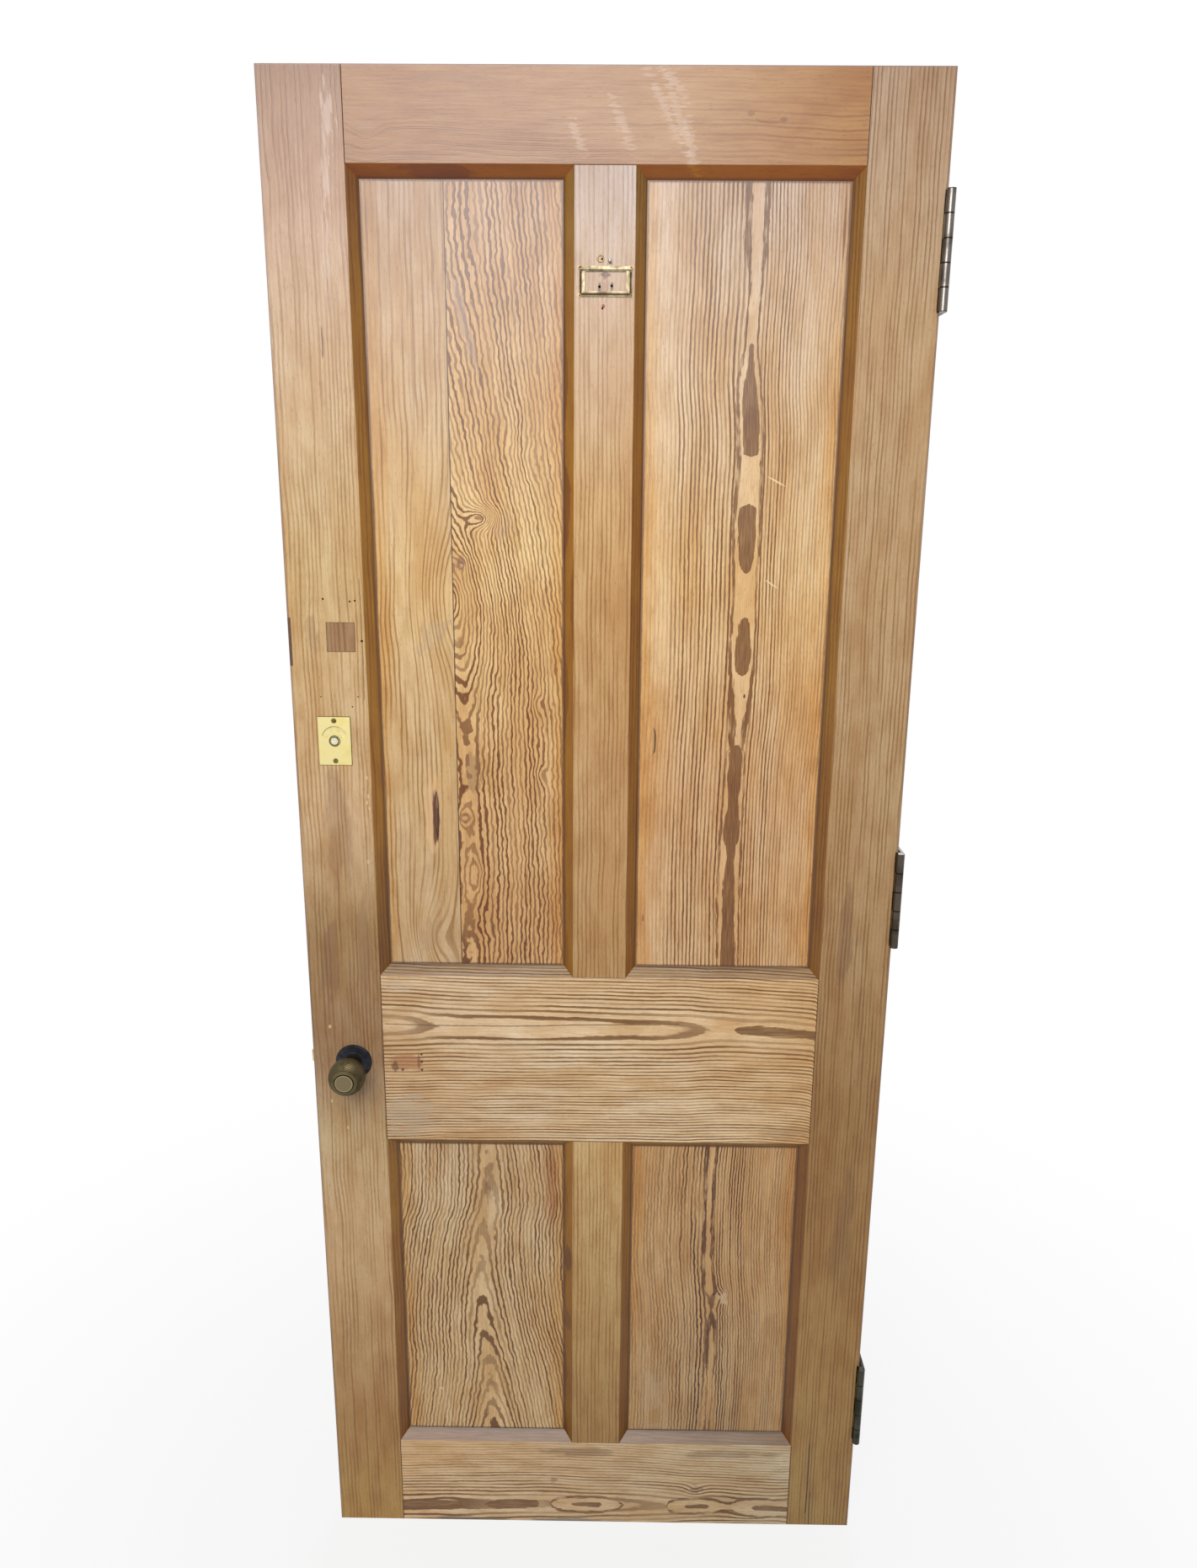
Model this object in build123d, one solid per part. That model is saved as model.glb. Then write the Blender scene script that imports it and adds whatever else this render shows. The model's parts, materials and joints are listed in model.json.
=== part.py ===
from build123d import *
import os
from math import cos, radians, sin, sqrt

# A reclaimed four-panel pine door leaf with solid splayed framing, three butt hinges, a beehive knob set
# on a mortised latch, and a privacy bolt whose plate shows on the near face.
# x runs from the lock edge to the hinge edge, y from the near face to the far face, z is up, millimetres.
# The origin is under the middle of the leaf, half way through its thickness.
os.makedirs("parts", exist_ok=True)

# Leaf and framing
leaf_width = 762.0
leaf_height = 1950.0
leaf_thickness = 40.0
lock_stile_width = 94.0
hinge_stile_width = 91.0
top_rail_height = 98.0
lock_rail_bottom = 643.0
lock_rail_height = 241.0
bottom_rail_height = 143.0
muntin_width = 69.0
splay_width = 12.5

# Panels, loose in their grooves
panel_thickness = 14.0
panel_play = 0.2
panel_edge_gap = 0.6
panel_joint = 106.0

# Joinery
tenon_thickness = 14.0
tenon_inset = 8.0
top_tenon_height = 54.0
lock_tenon_clearance = 2.0
bottom_tenon_height = 66.0
haunch_depth = 12.0
haunch_inset = 10.0
stub_width = 52.0
stub_length = 26.0
wedge_length = 58.0
wedge_rise = 5.0
wedge_tip = 0.6

# Butt hinges
hinge_length = 127.0
top_hinge_drop = 185.0
middle_hinge_rise = 113.5
bottom_hinge_rise = 78.0
hinge_gauge = 3.2
hinge_leaf_depth = 38.0
hinge_throw = 5.5
barrel_radius = 5.1
knuckles = 5
knuckle_gap = 0.3
pin_radius = 3.0
pin_fit = 0.05
barrel_clearance = 0.4
hinge_head_radius = 4.6
hinge_shank_radius = 2.4
hinge_screw_length = 30.0
near_screw_row = 14.0
far_screw_row = 29.0
outer_screw_offset = 50.0
inner_screw_offset = 17.0
screw_play = 0.1
loose_hole_radius = 2.8

# Knobs, their roses and spindle
knob_backset = 54.0
knob_rise = 116.7
ball_radius = 24.0
knob_reach = 61.5
ball_standoff = 43.0
knob_disc_radius = 11.7
disc_groove = 1.2
ring_count = 16
ring_depth = 0.5
first_ring_angle = 45.0
last_ring_angle = 118.0
shoulder_angle = 140.0
neck_radius = 10.5
neck_length = 15.5
rose_radius = 24.2
rose_thickness = 5.0
rose_collar_radius = 15.0
rose_edge = 1.6
turning_gap = 0.3
spindle_side = 8.0
spindle_play = 0.1
spindle_grip = 28.0
grub_radius = 2.0
grub_height = 10.0
rose_screw_circle = 18.5
rose_head_radius = 2.6
rose_shank_radius = 1.3
rose_screw_length = 15.0
spindle_hole_radius = 9.0

# Latch, mortised into the lock stile
latch_throw = 6.0
latch_turn = 30.0
wing_tip_radius = 2.0
wing_slack = 0.85
wing_clearance = 1.8
hub_radius = 8.5
boss_radius = 6.5
running_fit = 0.05
sliding_gap = 0.3
latch_height = 16.0
latch_thickness = 10.8
latch_nose = 3.4
tail_gauge = 1.9
post_gauge = 3.0
stop_gauge = 2.0
stop_height = 6.0
case_thickness = 14.0
case_wall = 1.2
case_play = 0.1
forend_gauge = 3.0
forend_width = 20.0
forend_length = 100.0
forend_screw_offset = 40.0
forend_head_radius = 3.6
forend_shank_radius = 1.8
forend_screw_length = 22.0
pillar_radius = 2.5
pillar_inset = 2.0
cover_head_radius = 2.1
cover_shank_radius = 1.2
cover_screw_length = 8.0
spring_radius = 2.5
spring_wire = 0.45
spring_wire_sides = 6
spring_turns = 7
spring_bore_radius = 3.3
spring_bore_depth = 25.0

# Privacy indicator on the near face
indicator_backset = 50.5
indicator_height = 1199.5
plate_width = 41.5
plate_height = 62.0
plate_gauge = 1.5
plate_bevel = 0.5
plate_screw_offset = 25.5
plate_head_radius = 2.9
plate_shank_radius = 1.5
plate_screw_length = 16.0
window_rise = 2.5
window_inner_radius = 9.6
window_outer_radius = 16.2
window_start = 20.0
window_end = 160.0
window_dip = 5.0
disc_radius = 19.6
disc_gauge = 0.8
disc_recess = 2.0
disc_gap = 0.5
release_radius = 4.9
release_proud = 1.3
release_hole_radius = 6.3
release_slot = 1.4
release_slot_depth = 1.2
turn_spindle_side = 5.0
turn_hole_radius = 4.6

# Privacy bolt on the far face
bolt_throw = 13.0
bolt_turn = 90.0
crank_pin_radius = 2.0
crank_pin_gap = 0.6
crank_gauge = 1.7
bolt_thickness = 7.7
bolt_height = 10.5
bolt_drop = 4.0
bolt_shoulder = 5.0
housing_inset = 2.0
housing_length = 74.0
housing_height = 38.0
housing_depth = 13.0
housing_cover = 2.4
housing_round = 3.0
flange_gauge = 2.0
flange_screw_inset = 7.0
turn_shaft_radius = 4.0
turn_collar_radius = 8.0
turn_collar_gauge = 2.0
turn_stem_radius = 4.5
turn_stem_length = 5.0
turn_blade_width = 25.0
turn_blade_reach = 15.0
turn_blade_gauge = 4.5
turn_socket_depth = 8.0

# Card frame and its pins on the upper muntin
card_frame_width = 59.4
card_frame_height = 31.5
card_frame_offset = 1.2
card_frame_drop = 217.7
card_frame_gauge = 2.2
card_lip_gauge = 1.0
card_side_width = 6.3
card_foot_width = 5.0
card_head_width = 5.2
card_slot_depth = 1.8
card_groove_inset = 2.0
card_groove_width = 1.8
card_groove_depth = 0.8
ear_radius = 2.4
ear_reach = -0.7
card_pin_radius = 0.8
card_pin_head = 1.5
card_pin_length = 9.0

# Repairs and old marks: holes on the stile by distance from the lock edge, rise above the indicator's middle
# and radius, and those round the card frame by place across and up from its middle, and radius
square_patch_width = 35.3
square_patch_height = 36.2
square_patch_offset = 46.4
square_patch_rise = 80.1
square_patch_depth = 8.0
edge_patch_gauge = 3.4
edge_patch_drop = 17.6
edge_patch_height = 59.0
edge_patch_depth = 24.0
pocket_offset = 173.0
pocket_centre = 1101.5
pocket_length = 64.0
pocket_width = 6.4
pocket_depth = 2.6
old_hole_depth = 9.0
old_holes = [
    (44.4, 175.1, 1.3),
    (76.9, 172.3, 1.2),
    (83.1, 173.4, 1.2),
    (89.6, 124.5, 1.6),
    (35.9, 55.4, 0.9),
    (81.8, 55.8, 0.9),
    (74.4, 43.1, 1.0),
]
card_holes = [(-6.9, -5.5, 1.6), (7.0, -4.6, 1.4), (-4.2, 23.5, 1.2), (-3.5, -28.4, 1.2)]

# Places worked out from the sizes above
near_face = -leaf_thickness / 2
far_face = leaf_thickness / 2
faces = (near_face, far_face)
lock_edge = -leaf_width / 2
hinge_edge = leaf_width / 2
lock_arris = lock_edge + lock_stile_width
hinge_arris = hinge_edge - hinge_stile_width
muntin_left = (lock_arris + hinge_arris - muntin_width) / 2
muntin_right = muntin_left + muntin_width
muntin_centre = (muntin_left + muntin_right) / 2
top_arris = leaf_height - top_rail_height
lock_rail_top = lock_rail_bottom + lock_rail_height
groove_width = panel_thickness + panel_play
tenon_faces = (-tenon_thickness / 2, tenon_thickness / 2)
knob_x = lock_edge + knob_backset
knob_height = lock_rail_bottom + knob_rise
indicator_x = lock_edge + indicator_backset
square_patch_bottom = indicator_height + plate_height / 2 + square_patch_rise
edge_patch_bottom = square_patch_bottom - edge_patch_drop
card_frame_centre = (muntin_centre + card_frame_offset, leaf_height - card_frame_drop)
hinge_centres = {
    "top": leaf_height - top_hinge_drop,
    "middle": lock_rail_top + middle_hinge_rise,
    "bottom": bottom_rail_height + bottom_hinge_rise,
}
openings = {
    "upper_left": (lock_arris, muntin_left, lock_rail_top, top_arris),
    "upper_right": (muntin_right, hinge_arris, lock_rail_top, top_arris),
    "lower_left": (lock_arris, muntin_left, bottom_rail_height, lock_rail_bottom),
    "lower_right": (muntin_right, hinge_arris, bottom_rail_height, lock_rail_bottom),
}
# Each tenon joins a rail to both stiles; the lock rail has two, clear of the latch's forend.
# A haunch fills the rail's end between its tenons or beside its tenon.
latch_room = forend_length / 2 + wedge_rise + lock_tenon_clearance
tenons = {
    "top_rail": [(top_arris + tenon_inset, top_arris + tenon_inset + top_tenon_height)],
    "lock_rail": [
        (lock_rail_bottom + tenon_inset, knob_height - latch_room),
        (knob_height + latch_room, lock_rail_top - tenon_inset),
    ],
    "bottom_rail": [
        (bottom_rail_height - tenon_inset - bottom_tenon_height, bottom_rail_height - tenon_inset)
    ],
}
haunches = {
    "top_rail": (tenons["top_rail"][0][1], leaf_height - haunch_inset),
    "lock_rail": (tenons["lock_rail"][0][1], tenons["lock_rail"][1][0]),
    "bottom_rail": (haunch_inset, tenons["bottom_rail"][0][0]),
}


# Shapes used throughout
def block(x, y, z):
    """A box between a low and a high value on each axis."""
    place = Pos((x[0] + x[1]) / 2, (y[0] + y[1]) / 2, (z[0] + z[1]) / 2)
    return place * Box(x[1] - x[0], y[1] - y[0], z[1] - z[0])


def rod(radius, x, z, y):
    """A cylinder that runs front to back through (x, z), between two values of y."""
    return Pos(x, (y[0] + y[1]) / 2, z) * (Rot(90, 0, 0) * Cylinder(radius, y[1] - y[0]))


def outline(points):
    """A flat face inside straight lines through the points."""
    return make_face(Polyline(*points, close=True))


def slab(face, y):
    """A face drawn in x and z, given thickness between two values of y."""
    return Pos(0, y[1], 0) * extrude(Plane.XZ * face, y[1] - y[0])


def screw(head_radius, shank_radius, length, grown=0.0):
    """A countersunk wood screw with its head at z = 0, or the hole for one when it is grown."""
    head, shank = head_radius + grown, shank_radius + grown
    depth, foot = head_radius - shank_radius, -length - grown
    profile = [(0, 0), (head, 0), (shank, -depth), (shank, foot + 2 * shank), (0, foot)]
    body = revolve(Plane.XZ * outline(profile), Axis.Z)
    if grown:
        return body
    slot_width, slot_depth = head_radius / 5, depth / 2
    return body - block((-head, head), (-slot_width / 2, slot_width / 2), (-slot_depth, 1))


def outward(x, y, z, direction):
    """The seat of a screw whose head looks along the direction given."""
    return Plane(origin=(x, y, z), z_dir=direction)


pieces = {}
stile_cuts = {"lock_stile": [], "hinge_stile": []}


# Framing
def lip(opening, side):
    """The strip that a member carries along one side of an opening, mitred at its ends."""
    x0, x1, z0, z1 = openings[opening]
    s = splay_width
    corners = {
        "left": [(x0, z0), (x0, z1), (x0 + s, z1 - s), (x0 + s, z0 + s)],
        "right": [(x1, z0), (x1, z1), (x1 - s, z1 - s), (x1 - s, z0 + s)],
        "below": [(x0, z0), (x1, z0), (x1 - s, z0 + s), (x0 + s, z0 + s)],
        "above": [(x0, z1), (x1, z1), (x1 - s, z1 - s), (x0 + s, z1 - s)],
    }
    return slab(outline(corners[side]), faces)


def hollow(opening):
    """The space inside an opening: a splay in each face, and the panel groove between them."""
    x0, x1, z0, z1 = openings[opening]
    centre = Pos((x0 + x1) / 2, 0, (z0 + z1) / 2)
    wide = Rectangle(x1 - x0, z1 - z0)
    narrow = Rectangle(x1 - x0 - 2 * splay_width, z1 - z0 - 2 * splay_width)
    splay = loft([Plane.XZ.offset(leaf_thickness / 2) * wide, Plane.XZ.offset(groove_width / 2) * narrow])
    groove = block((x0, x1), (-groove_width / 2, groove_width / 2), (z0, z1))
    return centre * splay + mirror(centre * splay, Plane.XZ) + groove


def member(x, z, lips):
    """A stile, rail or muntin: its core, the lips it carries, and its share of the openings cut away."""
    solid = block(x, faces, z)
    for opening, side in lips:
        solid += lip(opening, side)
    for opening in sorted({opening for opening, side in lips}):
        solid -= hollow(opening)
    return solid


def wedges(z):
    """The four wedges of one tenon pair, above and below it, driven from each edge of the leaf."""
    driven = []
    for edge, inward in ((lock_edge, 1), (hinge_edge, -1)):
        for root, away in ((z[0], -1), (z[1], 1)):
            tip = edge + inward * wedge_length
            butt, point = root + away * wedge_rise, root + away * wedge_tip
            driven.append(slab(outline([(edge, root), (edge, butt), (tip, point), (tip, root)]), tenon_faces))
    return driven


def framing():
    left_lips = [("upper_left", "left"), ("lower_left", "left")]
    right_lips = [("upper_right", "right"), ("lower_right", "right")]
    pieces["lock_stile"] = member((lock_edge, lock_arris), (0, leaf_height), left_lips)
    pieces["hinge_stile"] = member((hinge_arris, hinge_edge), (0, leaf_height), right_lips)
    across = (lock_arris, hinge_arris)
    above = {part: [(part + "_left", "above"), (part + "_right", "above")] for part in ("upper", "lower")}
    below = {part: [(part + "_left", "below"), (part + "_right", "below")] for part in ("upper", "lower")}
    rails = {
        "top_rail": ((top_arris, leaf_height), above["upper"]),
        "lock_rail": ((lock_rail_bottom, lock_rail_top), below["upper"] + above["lower"]),
        "bottom_rail": ((0, bottom_rail_height), below["lower"]),
    }
    for name, (z, lips) in rails.items():
        rail = member(across, z, lips)
        haunch_ends = (lock_arris - haunch_depth, hinge_arris + haunch_depth)
        joined = [block(haunch_ends, tenon_faces, haunches[name])]
        driven = []
        for tenon in tenons[name]:
            joined.append(block((lock_edge, hinge_edge), tenon_faces, tenon))
            driven += wedges(tenon)
        pieces[name] = rail + joined
        pieces[name + "_wedges"] = Compound(driven)
        for stile in stile_cuts:
            stile_cuts[stile] += [*joined, *driven]
    middle = (muntin_left, muntin_right)
    stub = (muntin_centre - stub_width / 2, muntin_centre + stub_width / 2)
    for part, z, rails_beside in (
        ("upper", (lock_rail_top, top_arris), ("lock_rail", "top_rail")),
        ("lower", (bottom_rail_height, lock_rail_bottom), ("bottom_rail", "lock_rail")),
    ):
        lips = [(part + "_left", "right"), (part + "_right", "left")]
        stubs = block(stub, tenon_faces, (z[0] - stub_length, z[1] + stub_length))
        pieces[part + "_muntin"] = member(middle, z, lips) + stubs
        for rail, meets in zip(rails_beside, z):
            pieces[rail] -= block(stub, tenon_faces, (meets - stub_length, meets + stub_length))


def panels():
    thickness = (-panel_thickness / 2, panel_thickness / 2)
    for opening, (x0, x1, z0, z1) in openings.items():
        z = (z0 + panel_edge_gap, z1 - panel_edge_gap)
        low, high = x0 + panel_edge_gap, x1 - panel_edge_gap
        if opening == "upper_left":
            joint = x0 + panel_joint
            board = block((low, joint), thickness, z)
            pieces["upper_left_panel_outer_board"] = board - resin_pocket()
            pieces["upper_left_panel_inner_board"] = block((joint, high), thickness, z)
        else:
            pieces[opening + "_panel"] = block((low, high), thickness, z)


def resin_pocket():
    """A lens-shaped hollow, open at the panel's near face, where a pocket of resin fell out."""
    half_length, half_width = pocket_length / 2, pocket_width / 2
    across = ThreePointArc((0, -half_length), (half_width, 0), (0, half_length))
    back = ThreePointArc((0, half_length), (-half_width, 0), (0, -half_length))
    place = Pos(lock_edge + pocket_offset, 0, pocket_centre)
    skin = -panel_thickness / 2
    return place * slab(make_face([across, back]), (skin, skin + pocket_depth))


# Hinges
def hinge(name, centre):
    """One butt hinge, closed: the leaf on the door, the leaf for the frame, the pin and four screws."""
    axis_x = hinge_edge + barrel_radius - hinge_gauge
    axis_y = near_face - hinge_throw
    bottom, top = centre - hinge_length / 2, centre + hinge_length / 2
    back = axis_y + hinge_leaf_depth
    pitch = hinge_length / knuckles
    reach = barrel_radius + barrel_clearance
    door_plate = (hinge_edge - hinge_gauge, hinge_edge)
    frame_plate = (2 * axis_x - door_plate[1], 2 * axis_x - door_plate[0])
    door = block(door_plate, (axis_y, back), (bottom, top))
    frame = block(frame_plate, (axis_y, back), (bottom, top))
    for k in range(knuckles):
        low = bottom + k * pitch + (knuckle_gap / 2 if k else 0)
        high = bottom + (k + 1) * pitch - (knuckle_gap / 2 if k < knuckles - 1 else 0)
        barrel = Pos(axis_x, axis_y, (low + high) / 2) * Cylinder(barrel_radius, high - low)
        room = block(
            (axis_x - barrel_radius - 1, axis_x + barrel_radius + 1),
            (axis_y - reach, axis_y + reach),
            (max(low - knuckle_gap, bottom - 1), min(high + knuckle_gap, top + 1)),
        )
        if k % 2:
            frame -= room
            door += barrel
        else:
            door -= room
            frame += barrel
    bore = Pos(axis_x, axis_y, centre) * Cylinder(pin_radius + pin_fit, hinge_length + 2)
    driven, holes = [], []
    for offset, row in (
        (outer_screw_offset, far_screw_row),
        (-outer_screw_offset, far_screw_row),
        (inner_screw_offset, near_screw_row),
        (-inner_screw_offset, near_screw_row),
    ):
        seat = outward(hinge_edge, axis_y + row, centre + offset, (1, 0, 0))
        driven.append(seat * screw(hinge_head_radius, hinge_shank_radius, hinge_screw_length))
        holes.append(seat * screw(hinge_head_radius, hinge_shank_radius, hinge_screw_length, screw_play))
        facing = outward(frame_plate[0], axis_y + row, centre + offset, (-1, 0, 0))
        grown = loose_hole_radius - hinge_shank_radius
        frame -= facing * screw(hinge_head_radius, hinge_shank_radius, hinge_screw_length, grown)
    pieces[name + "_hinge_door_leaf"] = door - bore - holes
    pieces[name + "_hinge_frame_leaf"] = frame - bore
    pieces[name + "_hinge_pin"] = Pos(axis_x, axis_y, centre) * Cylinder(pin_radius, hinge_length)
    pieces[name + "_hinge_screws"] = Compound(driven)
    recess = block(door_plate, (near_face - 1, back), (bottom, top))
    stile_cuts["hinge_stile"] += [recess, *holes]


# Knobs
def ball_point(angle, radius):
    """A point (radius from the axis, height off the door) on a ball about the knob's centre."""
    return radius * sin(radians(angle)), ball_standoff + radius * cos(radians(angle))


def knob():
    """A beehive knob about the z axis, standing on z = 0: neck, ringed ball cut flat, and a disc in front."""
    step = (last_ring_angle - first_ring_angle) / (2 * ring_count)
    rings = [
        ball_point(first_ring_angle + k * step, ball_radius - (ring_depth if k % 2 else 0))
        for k in range(2 * ring_count + 1)
    ]
    groove_radius = knob_disc_radius + disc_groove / 2
    front = [
        (0, knob_reach),
        (knob_disc_radius, knob_reach),
        (groove_radius, knob_reach - disc_groove),
        (groove_radius + disc_groove / 2, knob_reach - disc_groove / 2),
        *rings,
    ]
    shoulder = ball_point(shoulder_angle, ball_radius)
    underside = ThreePointArc(rings[-1], shoulder, (neck_radius, neck_length))
    neck = Polyline((neck_radius, neck_length), (neck_radius, turning_gap), (0, turning_gap), (0, knob_reach))
    body = revolve(Plane.XZ * make_face([Polyline(*front), underside, neck]), Axis.Z)
    socket = spindle_side + spindle_play
    depth = spindle_grip + 1
    body -= Pos(0, 0, depth / 2) * Box(socket, socket, depth)
    return body


def rose():
    """The disc that covers the spindle hole, with a low collar about the knob's neck."""
    inside = neck_radius + turning_gap
    face = [
        (inside, 0),
        (rose_radius, 0),
        (rose_radius, rose_edge),
        (rose_radius - rose_edge, rose_thickness - rose_edge / 2),
        (rose_collar_radius, rose_thickness - rose_edge / 4),
        (rose_collar_radius - rose_edge / 4, rose_thickness),
        (inside, rose_thickness),
    ]
    return revolve(Plane.XZ * outline(face), Axis.Z)


def knob_set():
    socket = spindle_side / 2
    grubs, screws = [], []
    for name, face, direction in (("front", near_face, (0, -1, 0)), ("back", far_face, (0, 1, 0))):
        seat = Plane(origin=(knob_x, face, knob_height), x_dir=(1, 0, 0), z_dir=direction)
        out = direction[1]
        grub_y = face + out * grub_height
        length = neck_radius - socket - turning_gap
        grub_z = knob_height - socket - turning_gap / 2 - length / 2
        mouth = Pos(knob_x, grub_y, knob_height - neck_radius)
        hole = mouth * Cylinder(grub_radius + running_fit, 2 * (neck_radius - socket))
        key = mouth * Cylinder(grub_radius / 2, length / 2)
        grubs.append(Pos(knob_x, grub_y, grub_z) * Cylinder(grub_radius, length) - key)
        pieces[name + "_knob"] = seat * knob() - hole
        disc = seat * rose()
        for angle in (30, 150, 270):
            x = knob_x + rose_screw_circle * cos(radians(angle))
            z = knob_height + rose_screw_circle * sin(radians(angle))
            spot = outward(x, face + out * (rose_thickness - rose_edge / 2), z, direction)
            disc -= spot * screw(rose_head_radius, rose_shank_radius, rose_screw_length, screw_play)
            disc -= spot * Pos(0, 0, rose_edge / 2) * Cylinder(rose_head_radius + screw_play, rose_edge)
            screws.append(spot * screw(rose_head_radius, rose_shank_radius, rose_screw_length))
            stile_cuts["lock_stile"].append(
                spot * screw(rose_head_radius, rose_shank_radius, rose_screw_length, screw_play)
            )
        pieces[name + "_rose"] = disc
    ends = (near_face - spindle_grip, far_face + spindle_grip)
    side = (-socket, socket)
    pieces["knob_spindle"] = Pos(knob_x, 0, knob_height) * block(side, ends, side)
    pieces["knob_grub_screws"] = Compound(grubs)
    pieces["rose_screws"] = Compound(screws)
    stile_cuts["lock_stile"].append(rod(spindle_hole_radius, knob_x, knob_height, faces))


# Latch
wing_centre = latch_throw / sin(radians(latch_turn))
wing_reach = wing_centre + wing_tip_radius
case_half_height = wing_reach + wing_clearance + case_wall
case_half_thickness = case_thickness / 2
case_front = lock_edge + forend_gauge
post_face = knob_x + wing_tip_radius + wing_slack
post_back = post_face + post_gauge
post_room = post_back + latch_throw + 2 * sliding_gap
pillar_room = knob_x + hub_radius + sliding_gap + pillar_radius + pillar_inset
case_back = max(post_room, pillar_room) + case_wall
stop_back = knob_x - hub_radius - 1.5
stop_front = stop_back - stop_gauge
latch_rear = stop_front - latch_throw - 1
inner_half_height = case_half_height - case_wall
inner_half_thickness = case_half_thickness - case_wall
tail_face = -latch_thickness / 2 + tail_gauge


def latch_axis(*shapes):
    return [Pos(0, 0, knob_height) * shape for shape in shapes]


def latch_case():
    """The pressed case with its cover off: walls, the spring's stop, three pillars and the bolt's slot."""
    x, z = (case_front, case_back), (-case_half_height, case_half_height)
    inner_x = (case_front + case_wall, case_back - case_wall)
    inner_z = (-inner_half_height, inner_half_height)
    y = (-inner_half_thickness, inner_half_thickness)
    case = block(x, (y[0], case_half_thickness), z) - block(inner_x, y, inner_z)
    stop_y = (tail_face + sliding_gap, y[1])
    case += block((stop_front, stop_back), stop_y, (-stop_height / 2, stop_height / 2))
    cover = block(x, (-case_half_thickness, y[0]), z)
    screws = []
    for px, pz in (
        (inner_x[0] + pillar_inset, inner_z[1] - pillar_inset),
        (inner_x[0] + pillar_inset, inner_z[0] + pillar_inset),
        (inner_x[1] - pillar_inset, 0),
    ):
        case += rod(pillar_radius, px, pz, y)
        seat = outward(px, -case_half_thickness, pz, (0, -1, 0))
        hole = seat * screw(cover_head_radius, cover_shank_radius, cover_screw_length, screw_play)
        case -= hole
        cover -= hole
        screws.append(seat * screw(cover_head_radius, cover_shank_radius, cover_screw_length))
    bearing = rod(boss_radius + running_fit, knob_x, 0, (-case_half_thickness, case_half_thickness))
    slot = latch_slot()
    return case - bearing - slot, cover - bearing, screws


def latch_slot():
    half_height = latch_height / 2 + sliding_gap
    half_thickness = latch_thickness / 2 + sliding_gap
    x = (lock_edge - 1, case_front + case_wall)
    return block(x, (-half_thickness, half_thickness), (-half_height, half_height))


def latch_bolt():
    """The bevelled bolt and its forked tail, whose two posts stand behind the follower's wings."""
    half_height, half_thickness = latch_height / 2, latch_thickness / 2
    tip = lock_edge - latch_throw
    head = block((tip, latch_rear), (-half_thickness, half_thickness), (-half_height, half_height))
    bevel = outline([(tip, latch_nose - half_thickness), (lock_edge, half_thickness), (tip, half_thickness)])
    head -= Pos(0, 0, -half_height) * extrude(bevel, latch_height)
    bore = Rot(0, 90, 0) * Cylinder(spring_bore_radius, spring_bore_depth)
    head -= Pos(latch_rear - spring_bore_depth / 2, 0, 0) * bore
    arm_z = hub_radius + 3 * sliding_gap
    fork_z = inner_half_height - sliding_gap
    tail_y = (-half_thickness, tail_face)
    tail = block((latch_rear - 2, post_back), tail_y, (-fork_z, fork_z))
    fork_root = knob_x - hub_radius - latch_throw - 2 * sliding_gap
    tail -= block((fork_root, post_back), tail_y, (-arm_z, arm_z))
    bolt = head + tail
    for z in ((arm_z, fork_z), (-fork_z, -arm_z)):
        bolt += block((post_face, post_back), (-half_thickness, half_thickness), z)
    return bolt


def latch_follower():
    """The hub that the spindle turns, with a wing above and below it."""
    thickness = (-inner_half_thickness + sliding_gap, inner_half_thickness - sliding_gap)
    wing_y = (tail_face + sliding_gap, thickness[1])
    hub = rod(hub_radius, knob_x, 0, thickness)
    hub += rod(boss_radius, knob_x, 0, (-case_half_thickness, case_half_thickness))
    half = wing_tip_radius
    hub += block((knob_x - half, knob_x + half), wing_y, (-wing_centre, wing_centre))
    for z in (-wing_centre, wing_centre):
        hub += rod(wing_tip_radius, knob_x, z, wing_y)
    side = (spindle_side + spindle_play) / 2
    return hub - Pos(knob_x, 0, 0) * block((-side, side), (-case_thickness, case_thickness), (-side, side))


def latch_spring():
    """A compression spring from the bottom of the bolt's bore to the stop in the case."""
    start = latch_rear - spring_bore_depth + spring_wire + sliding_gap
    length = stop_front - spring_wire - sliding_gap - start
    coil = Helix(pitch=length / spring_turns, height=length, radius=spring_radius)
    section = Plane(origin=coil @ 0, z_dir=coil % 0) * RegularPolygon(spring_wire, spring_wire_sides)
    wound = sweep(section, path=coil)
    return Pos(start, 0, 0) * (Rot(0, 90, 0) * wound)


def latch():
    case, cover, cover_screws = latch_case()
    forend = block(
        (lock_edge, case_front),
        (-forend_width / 2, forend_width / 2),
        (-forend_length / 2, forend_length / 2),
    )
    recess = forend
    forend -= latch_slot()
    screws, holes = [], []
    for z in (-forend_screw_offset, forend_screw_offset):
        seat = outward(lock_edge, 0, z, (-1, 0, 0))
        screws.append(seat * screw(forend_head_radius, forend_shank_radius, forend_screw_length))
        holes.append(seat * screw(forend_head_radius, forend_shank_radius, forend_screw_length, screw_play))
    room = block(
        (case_front, case_back + case_play),
        (-case_half_thickness - case_play, case_half_thickness + case_play),
        (-case_half_height - case_play, case_half_height + case_play),
    )
    made = latch_axis(case, cover, forend - holes, latch_bolt(), latch_follower(), latch_spring())
    names = ("latch_case", "latch_cover", "latch_forend", "latch_bolt", "latch_follower", "latch_spring")
    pieces.update(zip(names, made))
    pieces["forend_screws"] = Compound(latch_axis(*screws))
    pieces["latch_cover_screws"] = Compound(latch_axis(*cover_screws))
    stile_cuts["lock_stile"] += latch_axis(recess, room, *holes)


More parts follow.
